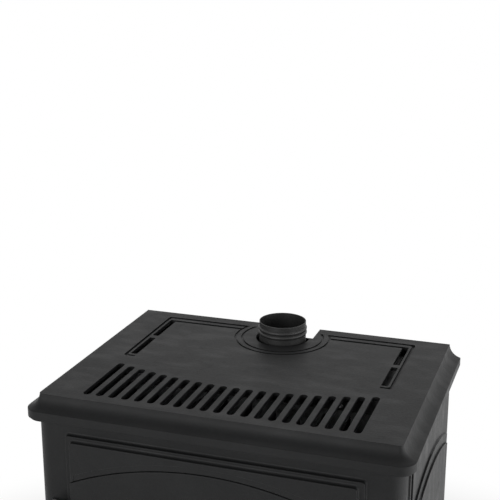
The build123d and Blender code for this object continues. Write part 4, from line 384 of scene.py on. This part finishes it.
def black_steel():
    """Satin black paint on smooth steel, with a faint orange peel and dusty places."""
    look = Finish("black_steel", {"Specular IOR Level": 0.44})
    peel = look.noise(420, detail=2)
    clouds = look.patches(13, 0.35, 0.7)
    dust = look.patches(90, 0.55, 0.8, detail=5, roughness=0.7, shift=2)
    colour = look.shade(tone(38), clouds * 0.2 + dust * 0.12 + 0.84)
    normal = look.bump(peel, 0.00006, 0.35)
    return look.finish(colour, 0.47 + clouds * 0.03 + dust * 0.08, normal)


def fire_steel():
    """Heat-proof black on welded steel, burnt to grey and brown in patches."""
    look = Finish("fire_steel", {"Specular IOR Level": 0.3})
    burnt = look.patches(9, 0.42, 0.72, detail=5, roughness=0.6)
    brown = look.patches(17, 0.5, 0.75, detail=3, shift=6)
    streaks = look.patches(30, 0.45, 0.75, place=look.stretch((3, 3, 0.4)), shift=1)
    grain = look.noise(520, detail=3)
    colour = look.mix(burnt * 0.7, tone(40), tone(72, 2))
    colour = look.mix(brown * 0.35, colour, tone(62, 10))
    colour = look.mix(streaks * 0.3, colour, tone(96, 1))
    normal = look.bump(grain + burnt * 0.3, 0.00012, 0.5)
    return look.finish(colour, 0.72 + streaks * 0.15 - brown * 0.08, normal)


def zinc_sheet():
    """Hot-dip zinc: crystals of slightly different grey, wiped dull in places."""
    look = Finish("zinc_sheet")
    turned_place = look.stretch((1, 1, 1), turn=(0.3, 0.2, 0.4))
    bright = look.axis("X", look.cells(55, place=turned_place, output="Color"))
    dull = look.patches(12, 0.4, 0.72)
    colour = look.mix(bright * 0.55, tone(150, -1.5), tone(196, -1.5))
    colour = look.mix(dull * 0.4, colour, tone(132, -1))
    normal = look.bump(bright + look.noise(300), 0.00003, 0.3)
    return look.finish(colour, 0.3 + bright * 0.14 + dull * 0.16, normal, 0.92 - dull * 0.25)


def bright_steel():
    """Plain machined steel: fine tool lines, a little oil stain."""
    look = Finish("bright_steel")
    lines = look.noise(900, detail=2, place=look.stretch((1, 1, 0.06)))
    stain = look.patches(24, 0.45, 0.75, shift=3)
    colour = look.mix(stain * 0.4, tone(165, 0.5), tone(112, 4))
    normal = look.bump(lines, 0.00002, 0.4)
    return look.finish(colour, 0.3 + lines * 0.12 + stain * 0.18, normal, 0.95 - stain * 0.2)


def motor_paint():
    """Grey enamel with a hammered skin."""
    look = Finish("motor_paint", {"Specular IOR Level": 0.5})
    hammered = look.cells(340, feature="SMOOTH_F1")
    grime = look.patches(20, 0.45, 0.75)
    colour = look.mix(grime * 0.5, tone(84, -2), tone(56, 2))
    return look.finish(colour, 0.4 + grime * 0.25, look.bump(hammered, 0.0002, 0.5))


def cast_alloy():
    """Die-cast aluminium: fine grain, grey bloom."""
    look = Finish("cast_alloy")
    bloom = look.patches(16, 0.4, 0.7)
    grain = look.noise(800, detail=2)
    colour = look.mix(bloom * 0.5, tone(190), tone(142, 1))
    normal = look.bump(grain, 0.00006, 0.4)
    return look.finish(colour, 0.42 + bloom * 0.18, normal, 0.9 - bloom * 0.25)


def stove_glass():
    """Clear glass ceramic, a little amber, with a thin smoky haze in patches."""
    look = Finish("stove_glass", {"Transmission Weight": 1.0, "IOR": 1.54})
    haze = look.patches(13, 0.45, 0.8)
    colour = look.mix(haze * 0.35, tone(236, 2), tone(196, 6))
    normal = look.bump(look.noise(9), 0.0002, 0.15)
    return look.finish(colour, 0.02 + haze * 0.1, normal)


def glass_fibre_rope():
    """Yarn of the plaited rope: fine glass fibres, dark grey, and paler where they have frayed."""
    look = Finish("glass_fibre_rope", {"Specular IOR Level": 0.3, "Sheen Weight": 0.25})
    fibre = look.noise(1500, detail=3)
    fray = look.patches(130, 0.4, 0.7, shift=2)
    colour = look.shade(look.mix(fray, tone(74), tone(110, 1.5)), fibre * 0.5 + 0.72)
    return look.finish(colour, 0.86 + fray * 0.08, look.bump(fibre, 0.0003, 0.8))


def glass_fibre_tape():
    """Woven glass fibre under the glass: fine warp and weft, stained brown in places."""
    look = Finish("glass_fibre_tape", {"Specular IOR Level": 0.3})
    weave = look.maths("MAXIMUM", look.threads("X", 190.0), look.threads("Z", 190.0))
    stain = look.patches(30, 0.45, 0.7)
    colour = look.mix(stain * 0.6, tone(186, 4), tone(120, 8))
    colour = look.shade(colour, weave * 0.4 + 0.62)
    return look.finish(colour, 0.9 - weave * 0.06, look.bump(weave, 0.0004, 0.7))


def moulded_plastic(name, level, roughness):
    """Moulded plastic with a spark-eroded texture, paler where hands have touched it."""
    look = Finish(name, {"Specular IOR Level": 0.45})
    texture = look.noise(1300, detail=2)
    touch = look.patches(28, 0.45, 0.75)
    colour = look.mix(touch * 0.5, tone(level), tone(level * 1.25 + 4))
    return look.finish(colour, roughness - touch * 0.1, look.bump(texture, 0.00008, 0.45))


def display_window():
    """Dark acrylic over a display: smooth, with a faint smear."""
    constants = {"Specular IOR Level": 0.5, "Coat Weight": 0.6, "Coat Roughness": 0.05}
    look = Finish("display_window", constants)
    smear = look.patches(60, 0.45, 0.8, place=look.stretch((1, 3, 1)))
    colour = look.mix(smear * 0.5, tone(16, -2), tone(30, -2))
    return look.finish(colour, 0.08 + smear * 0.16, look.bump(smear, 0.00002, 0.2))


def plated_screw():
    """Zinc-plated heads with dull, dirty spots."""
    look = Finish("plated_screw")
    dull = look.patches(420, 0.42, 0.7, detail=3)
    colour = look.mix(dull * 0.7, tone(196, -1), tone(118, 2))
    normal = look.bump(look.noise(900), 0.00003, 0.4)
    return look.finish(colour, 0.28 + dull * 0.2, normal, 0.9 - dull * 0.2)


paint = stove_paint()
FINISHES = {
    "cast_top": paint,
    "cast_casing": paint,
    "cast_fire": fire_casting(),
    "black_steel": black_steel(),
    "fire_steel": fire_steel(),
    "zinc_sheet": zinc_sheet(),
    "bright_steel": bright_steel(),
    "motor_metal": motor_paint(),
    "alloy": cast_alloy(),
    "glass": stove_glass(),
    "rope": glass_fibre_rope(),
    "gasket": glass_fibre_tape(),
    "black_plastic": moulded_plastic("black_plastic", 34, 0.5),
    "display": display_window(),
    "button": moulded_plastic("button_plastic", 128, 0.42),
    "grip": moulded_plastic("grip_plastic", 30, 0.46),
    "screw": plated_screw(),
}


# ---------------------------------------------------------------- pieces and their meshes
def dress(piece, slot):
    """Gives a piece the finish of a material slot."""
    piece.data.materials.clear()
    piece.data.materials.append(FINISHES[slot])


def add_piece(name, mesh, body, slot, *stands_for):
    """Links a finished mesh as a piece that rides on a body."""
    piece = bpy.data.objects.new(name, mesh)
    bpy.context.scene.collection.objects.link(piece)
    dress(piece, slot)
    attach(piece, body)
    if stands_for:
        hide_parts(*stands_for)
    return piece


def merged_copy(node):
    """A CAD node's mesh in an editable copy, with its loose corners joined."""
    shape = bmesh.new()
    shape.from_mesh(NODES[node].data)
    bmesh.ops.remove_doubles(shape, verts=shape.verts, dist=MERGE)
    return shape


def finished_mesh(shape, name, crease):
    """A mesh of an edited shape, smooth but for the edges that turn more than a crease."""
    for face in shape.faces:
        face.smooth = True
    mesh = bpy.data.meshes.new(name)
    shape.to_mesh(mesh)
    shape.free()
    mesh.set_sharp_from_angle(angle=crease)
    return mesh


# ---------------------------------------------------------------- castings with rounded edges
def rounded_casting(node, width):
    """A copy of a CAD node with whole flat faces and every outer edge softened, as a casting has."""
    shape = merged_copy(node)
    bmesh.ops.recalc_face_normals(shape, faces=shape.faces)
    bmesh.ops.dissolve_limit(
        shape, angle_limit=CASTING_FLAT, verts=shape.verts, edges=shape.edges, delimit={"NORMAL"}
    )
    # Faces of the softened edges are marked for the paint, which makes them paler: partly wear, partly a
    # painted highlight.
    wear_and_edge_highlight = shape.faces.layers.float.new("wear_and_edge_highlight")
    edges = [
        edge for edge in shape.edges
        if len(edge.link_faces) == 2 and edge.is_convex and edge.calc_face_angle(0) > CASTING_CORNER
    ]
    made = bmesh.ops.bevel(
        shape, geom=edges, offset=width, segments=2, profile=0.5, affect="EDGES", clamp_overlap=True
    )
    for face in made["faces"]:
        if face.is_valid:
            face[wear_and_edge_highlight] = 1.0
    mesh = finished_mesh(shape, node + "_cast", CASTING_CREASE)
    piece = add_piece(node + "_cast", mesh, BODY_OF_NODE[node], SLOT_OF_NODE[node], node)
    smooth = piece.modifiers.new("flat_faces_stay_flat", "WEIGHTED_NORMAL")
    smooth.keep_sharp = True
    smooth.weight = 100


# ---------------------------------------------------------------- rope and tape of the door
def seal_line(name, low, high, width):
    """The middle line of a seal of the arched door, as a closed line of edges in the seal's box."""
    half = high[0] - width / 2
    bottom = low[2] + width / 2
    arc = high[2] - width / 2 - ARCH_CENTRE
    middle = (low[1] + high[1]) / 2
    spread = math.asin(half / arc)
    points = [(-half, middle, bottom), (half, middle, bottom)]
    for step in range(ARCH_STEPS + 1):
        angle = spread - 2 * spread * step / ARCH_STEPS
        points.append((arc * math.sin(angle), middle, ARCH_CENTRE + arc * math.cos(angle)))
    line = bpy.data.meshes.new(name)
    count = len(points)
    line.from_pydata(points, [(i, (i + 1) % count) for i in range(count)], [])
    return line


def yarn_path(seal):
    """The seal's line with round corners, once for each yarn, and a yarn's number and place along it."""
    line = seal.node("GeometryNodeMeshToCurve", None, {"Mesh": seal.start})
    inputs = {"Curve": line, "Radius": seal.size("corner"), "Limit Radius": True, "Count": CORNER_POINTS}
    line = seal.node("GeometryNodeFilletCurve", {"mode": "POLY"}, inputs)
    inputs = {"Curve": line, "Count": seal.size("samples")}
    line = seal.node("GeometryNodeResampleCurve", {"mode": "COUNT"}, inputs)
    inputs = {"Geometry": line, "Amount": seal.size("yarns")}
    copies = seal.node("GeometryNodeDuplicateElements", {"domain": "SPLINE"}, inputs)
    along = seal.node("GeometryNodeSplineParameter", output="Factor")
    return copies, seal.other_output(copies, "Duplicate Index"), along


def laid_yarns(seal, curves, sideways, outward):
    """Moves each copy of the line within the door's plane and out of it, and gives it a round section."""
    across = seal.vectors("CROSS_PRODUCT", seal.node("GeometryNodeInputTangent"), (0.0, 1.0, 0.0))
    aside = seal.vectors("SCALE", across, scale=sideways)
    out = seal.node("ShaderNodeCombineXYZ", None, {"Y": outward})
    shift = seal.vectors("ADD", aside, out)
    moved = seal.node("GeometryNodeSetPosition", None, {"Geometry": curves, "Offset": shift})
    inputs = {"Resolution": YARN_FACETS, "Radius": seal.size("yarn")}
    section = seal.node("GeometryNodeCurvePrimitiveCircle", {"mode": "RADIUS"}, inputs)
    return seal.node("GeometryNodeCurveToMesh", None, {"Curve": moved, "Profile Curve": section})


def door_rope():
    """Round plait pressed into the groove of the door: eight yarns, four each way, over and under."""
    low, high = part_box("door_seal")
    rope = Pattern(
        "door_rope", yarns=8, samples=1360, turns=58, yarn=ROPE_YARN, corner=ROPE_WIDTH / 2,
        reach=ROPE_WIDTH / 2 - ROPE_INSET_WIDE, depth=(high[1] - low[1]) / 2 - ROPE_INSET_DEEP, lift=0.2,
    )
    curves, number, along = yarn_path(rope)
    way = 1 - rope.maths("MODULO", number, 2.0) * 2
    start = rope.maths("FLOOR", number * 0.5) / (rope.size("yarns") * 0.5)
    wound = along * rope.size("turns")
    angle = (wound * way + start) * math.tau
    weave = 1 + rope.maths("COSINE", wound * (4 * math.tau)) * way * rope.size("lift")
    sideways = rope.maths("COSINE", angle) * weave * rope.size("reach")
    outward = rope.maths("SINE", angle) * weave * rope.size("depth")
    yarns = laid_yarns(rope, curves, sideways, outward)
    mesh = rope.make(yarns, "rope", seal_line("rope_line", low, high, ROPE_WIDTH))
    add_piece("door_rope", mesh, "door", "rope", "door_seal")


def glass_tape():
    """Flat tape under the glass: seven long yarns side by side, which wave in turn as woven ones do."""
    low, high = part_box("glass_seal")
    tape = Pattern(
        "glass_tape", yarns=TAPE_YARNS, samples=1100, waves=330, yarn=TAPE_YARN, corner=TAPE_WIDTH / 4,
        pitch=(TAPE_WIDTH - 2 * TAPE_INSET) / (TAPE_YARNS - 1), rise=TAPE_RISE,
    )
    curves, number, along = yarn_path(tape)
    sideways = (number - (TAPE_YARNS - 1) / 2) * tape.size("pitch")
    outward = tape.maths("SINE", (along * tape.size("waves") + number * 0.5) * math.tau) * tape.size("rise")
    yarns = laid_yarns(tape, curves, sideways, outward)
    mesh = tape.make(yarns, "gasket", seal_line("tape_line", low, high, TAPE_WIDTH))
    add_piece("glass_tape", mesh, "door", "gasket", "glass_seal")


# ---------------------------------------------------------------- turned and repeated small parts
def turned(name, profile, radius, tall, steps, place=(0, 0, 0), lobes=0, lobe_depth=0.0, lobed_from=0):
    """A mesh of rings round an upright axis, closed underneath, that stands on a place.

    The profile is from the outside to the middle, and its last point is the middle itself.
    The rings from lobed_from on are waved in and out by the lobes.
    """
    shape = bmesh.new()
    rings = []
    for index, (share, rise) in enumerate(profile[:-1]):
        depth = lobe_depth if index >= lobed_from else 0.0
        ring = []
        for step in range(steps):
            angle = math.tau * step / steps
            wide = radius * share + depth * math.cos(lobes * angle)
            ring.append(shape.verts.new((wide * math.cos(angle), wide * math.sin(angle), tall * rise)))
        rings.append(ring)
    middle = shape.verts.new((0, 0, tall * profile[-1][1]))
    for outer, inner in zip(rings, rings[1:]):
        for step in range(steps):
            after = (step + 1) % steps
            shape.faces.new((outer[step], outer[after], inner[after], inner[step]))
    for step in range(steps):
        shape.faces.new((rings[-1][step], rings[-1][(step + 1) % steps], middle))
    shape.faces.new(list(reversed(rings[0])))
    bmesh.ops.translate(shape, vec=place, verts=shape.verts)
    bmesh.ops.recalc_face_normals(shape, faces=shape.faces)
    return finished_mesh(shape, name, TURNED_CREASE)


def islands(node):
    """Lowest and highest corner of each separate solid of a CAD node."""
    shape = merged_copy(node)
    left = set(shape.verts)
    boxes = []
    while left:
        found = {left.pop()}
        rim = set(found)
        while rim:
            rim = {other for corner in rim for edge in corner.link_edges for other in edge.verts} - found
            found |= rim
        left -= found
        low = Vector([min(corner.co[axis] for corner in found) for axis in range(3)])
        high = Vector([max(corner.co[axis] for corner in found) for axis in range(3)])
        boxes.append((low, high))
    shape.free()
    return sorted(boxes, key=lambda box: tuple(round(value, 4) for value in box[0]))


def casing_screw_heads():
    """Pan heads with a six-lobed recess, on the deck, the collar's flange and the rear panel."""
    head = turned(
        "screw_head", SCREW_PROFILE, SCREW_RADIUS, SCREW_TALL, SCREW_STEPS,
        lobes=SCREW_LOBES, lobe_depth=SCREW_RADIUS * SCREW_LOBE_DEPTH, lobed_from=SCREW_RECESS,
    )
    head = bpy.data.objects.new("screw_head", head)
    seats = []
    turns = []
    for low, high in islands("casing_screws"):
        middle = (low + high) / 2
        upright = high.z - low.z < high.y - low.y
        seats.append((middle.x, middle.y, low.z) if upright else (middle.x, low.y, middle.z))
        turns.append((0.0, 0.0, 0.0) if upright else (-math.pi / 2, 0.0, 0.0))
    points = bpy.data.meshes.new("screw_seats")
    points.from_pydata(seats, [], [])
    facing = points.attributes.new("facing", "FLOAT_VECTOR", "POINT")
    for seat, turn in zip(facing.data, turns):
        seat.vector = turn
    screws = Pattern("casing_screw_heads", head=head, seed=4)
    places = screws.node("GeometryNodeMeshToPoints", None, {"Mesh": screws.start})
    shape = screws.node("GeometryNodeObjectInfo", None, {"Object": screws.size("head")}, output="Geometry")
    way = screws.node("GeometryNodeInputNamedAttribute", {"data_type": "FLOAT_VECTOR"}, {"Name": "facing"})
    inputs = {"Points": places, "Instance": shape, "Rotation": way}
    heads = screws.node("GeometryNodeInstanceOnPoints", None, inputs)
    # sockets 2 and 3 of the Random Value node are the lowest and highest number, and output 1 is the number
    inputs = {2: 0.0, 3: math.tau, "Seed": screws.size("seed")}
    twist = screws.node("FunctionNodeRandomValue", {"data_type": "FLOAT"}, inputs, output=1)
    spin = screws.node("ShaderNodeCombineXYZ", None, {"Z": twist})
    heads = screws.node("GeometryNodeRotateInstances", None, {"Instances": heads, "Rotation": spin})
    mesh = screws.make(heads, "screw", points)
    bpy.data.objects.remove(head)
    add_piece("casing_screw_heads", mesh, "stove", "screw", "casing_screws")


def handle_cover():
    """Ribbed grip on the door handle, fullest in the middle, with rounded ends."""
    low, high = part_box("handle_grip")
    middle = (Vector(low) + Vector(high)) / 2
    line = bpy.data.meshes.new("grip_line")
    line.from_pydata([(middle.x, middle.y, low[2]), (middle.x, middle.y, high[2])], [(0, 1)], [])
    grip = Pattern(
        "ribbed_grip", rings=264, ribs=11, radius=(high[0] - low[0]) / 2, rib=GRIP_RIB,
        slimmer=GRIP_SLIMMER, facets=48,
    )
    curve = grip.node("GeometryNodeMeshToCurve", None, {"Mesh": grip.start})
    inputs = {"Curve": curve, "Count": grip.size("rings")}
    curve = grip.node("GeometryNodeResampleCurve", {"mode": "COUNT"}, inputs)
    along = grip.node("GeometryNodeSplineParameter", output="Factor")
    from_low = grip.between(along, GRIP_RIBS_LOW - GRIP_RIBS_FADE, GRIP_RIBS_LOW + GRIP_RIBS_FADE)
    from_high = grip.between(along, GRIP_RIBS_HIGH + GRIP_RIBS_FADE, GRIP_RIBS_HIGH - GRIP_RIBS_FADE)
    turn = (along - GRIP_RIBS_LOW) * (math.pi / (GRIP_RIBS_HIGH - GRIP_RIBS_LOW)) * grip.size("ribs")
    wave = grip.maths("ABSOLUTE", grip.maths("SINE", turn))
    groove = (1 - grip.maths("POWER", wave, GROOVE_SHARPNESS)) * (from_low * from_high) * grip.size("rib")
    belly = grip.maths("SINE", along * math.pi)
    ends = grip.between(along, 0.0, GRIP_ROUND_LOW) * grip.between(along, 1.0, 1.0 - GRIP_ROUND_HIGH)
    rounded = grip.maths("SQRT", ends + GRIP_LEAST)
    full = grip.size("radius") - (1 - belly) * grip.size("slimmer") - groove
    radius = full * (GRIP_TIP + rounded * (1 - GRIP_TIP))
    curve = grip.node("GeometryNodeSetCurveRadius", None, {"Curve": curve, "Radius": radius})
    inputs = {"Resolution": grip.size("facets"), "Radius": 1.0}
    section = grip.node("GeometryNodeCurvePrimitiveCircle", {"mode": "RADIUS"}, inputs)
    inputs = {"Curve": curve, "Profile Curve": section, "Fill Caps": True}
    inputs["Scale"] = grip.node("GeometryNodeInputRadius")
    mesh = grip.make(grip.node("GeometryNodeCurveToMesh", None, inputs), "grip", line)
    for face in mesh.polygons:
        face.use_smooth = True
    add_piece("ribbed_grip", mesh, "handle", "grip", "handle_grip")


def console_button(node):
    """Round button with a soft rim and a shallow dish for the finger."""
    low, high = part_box(node)
    place = ((low[0] + high[0]) / 2, (low[1] + high[1]) / 2, low[2])
    radius = (high[0] - low[0]) / 2
    mesh = turned(node + "_cap", BUTTON_PROFILE, radius, high[2] - low[2], BUTTON_STEPS, place)
    add_piece(node + "_cap", mesh, BODY_OF_NODE[node], SLOT_OF_NODE[node], node)


# ---------------------------------------------------------------- floor, room, lamps and camera
def seen_directly(tree):
    """1 for what the camera sees, straight or in metal and glass."""
    straight = tree.node("ShaderNodeLightPath", output="Is Camera Ray")
    in_metal = tree.other_output(straight, "Is Glossy Ray")
    in_glass = tree.other_output(straight, "Is Transmission Ray")
    return tree.maths("MINIMUM", straight + in_metal + in_glass, 1.0)


def lay_floor():
    """A wide pale disc, which keeps its shading near the stove and is plain white beyond."""
    mesh = bpy.data.meshes.new("floor")
    disc = bmesh.new()
    bmesh.ops.create_circle(disc, cap_ends=True, radius=FLOOR_RADIUS, segments=FLOOR_STEPS)
    disc.to_mesh(mesh)
    disc.free()
    floor = bpy.data.objects.new("floor", mesh)
    bpy.context.scene.collection.objects.link(floor)
    look = Finish("pale_floor", {"Specular IOR Level": 0.1})
    look.finish(FLOOR_TONE, FLOOR_ROUGHNESS)
    distance = look.node("ShaderNodeVectorMath", {"operation": "LENGTH"}, {0: look.place}, output="Value")
    share = seen_directly(look) * look.between(distance, FLOOR_NEAR, FLOOR_FAR)
    white = look.node("ShaderNodeEmission", None, {"Color": WHITE, "Strength": BACKDROP})
    blend = look.node("ShaderNodeMixShader", None, {0: share, 1: look.surface, 2: white})
    look.feed(look.output.inputs["Surface"], blend)
    mesh.materials.append(look.material)


def light_room():
    """A white room with a dimmer ceiling, and the lamps."""
    world = bpy.data.worlds.new("white_room")
    bpy.context.scene.world = world
    world.use_nodes = True
    room = Nodes(world.node_tree)
    straight = room.node("ShaderNodeLightPath", output="Is Camera Ray")
    rise = room.axis("Z", room.node("ShaderNodeTexCoord", output="Generated"))
    mirrored = BACKDROP - room.between(rise, CEILING_LOW, CEILING_HIGH) * CEILING_DIM * (1 - straight)
    strength = ROOM_LIGHT + seen_directly(room) * (mirrored - ROOM_LIGHT)
    light = room.node("ShaderNodeBackground", None, {"Color": WHITE, "Strength": strength})
    room.add("ShaderNodeOutputWorld", None, {"Surface": light})
    for name, place, aim, width, height, power in LAMPS:
        lamp = bpy.data.lights.new(name, "AREA")
        lamp.shape = "RECTANGLE"
        lamp.size = width
        lamp.size_y = height
        lamp.energy = power
        holder = bpy.data.objects.new(name, lamp)
        holder.location = place
        holder.rotation_euler = (Vector(aim) - Vector(place)).to_track_quat("-Z", "Y").to_euler()
        holder.visible_camera = False
        bpy.context.scene.collection.objects.link(holder)


def place_camera():
    """The photograph's viewing angle."""
    camera = bpy.data.cameras.new("camera")
    camera.lens = CAMERA_LENS
    camera.sensor_width = SENSOR
    camera.clip_start = CAMERA_NEAR
    camera.clip_end = CAMERA_FAR
    holder = bpy.data.objects.new("camera", camera)
    holder.location = CAMERA_PLACE
    holder.rotation_euler = (math.pi / 2 - CAMERA_DIP, 0, CAMERA_TURN)
    bpy.context.scene.collection.objects.link(holder)
    bpy.context.scene.camera = holder


# ---------------------------------------------------------------- the scene
for node, piece in NODES.items():
    dress(piece, SLOT_OF_NODE[node])
for node, width in CASTINGS.items():
    rounded_casting(node, width)
door_rope()
glass_tape()
casing_screw_heads()
handle_cover()
for node in BUTTONS:
    console_button(node)

lay_floor()
light_room()
place_camera()
bpy.context.scene.view_settings.view_transform = "Standard"
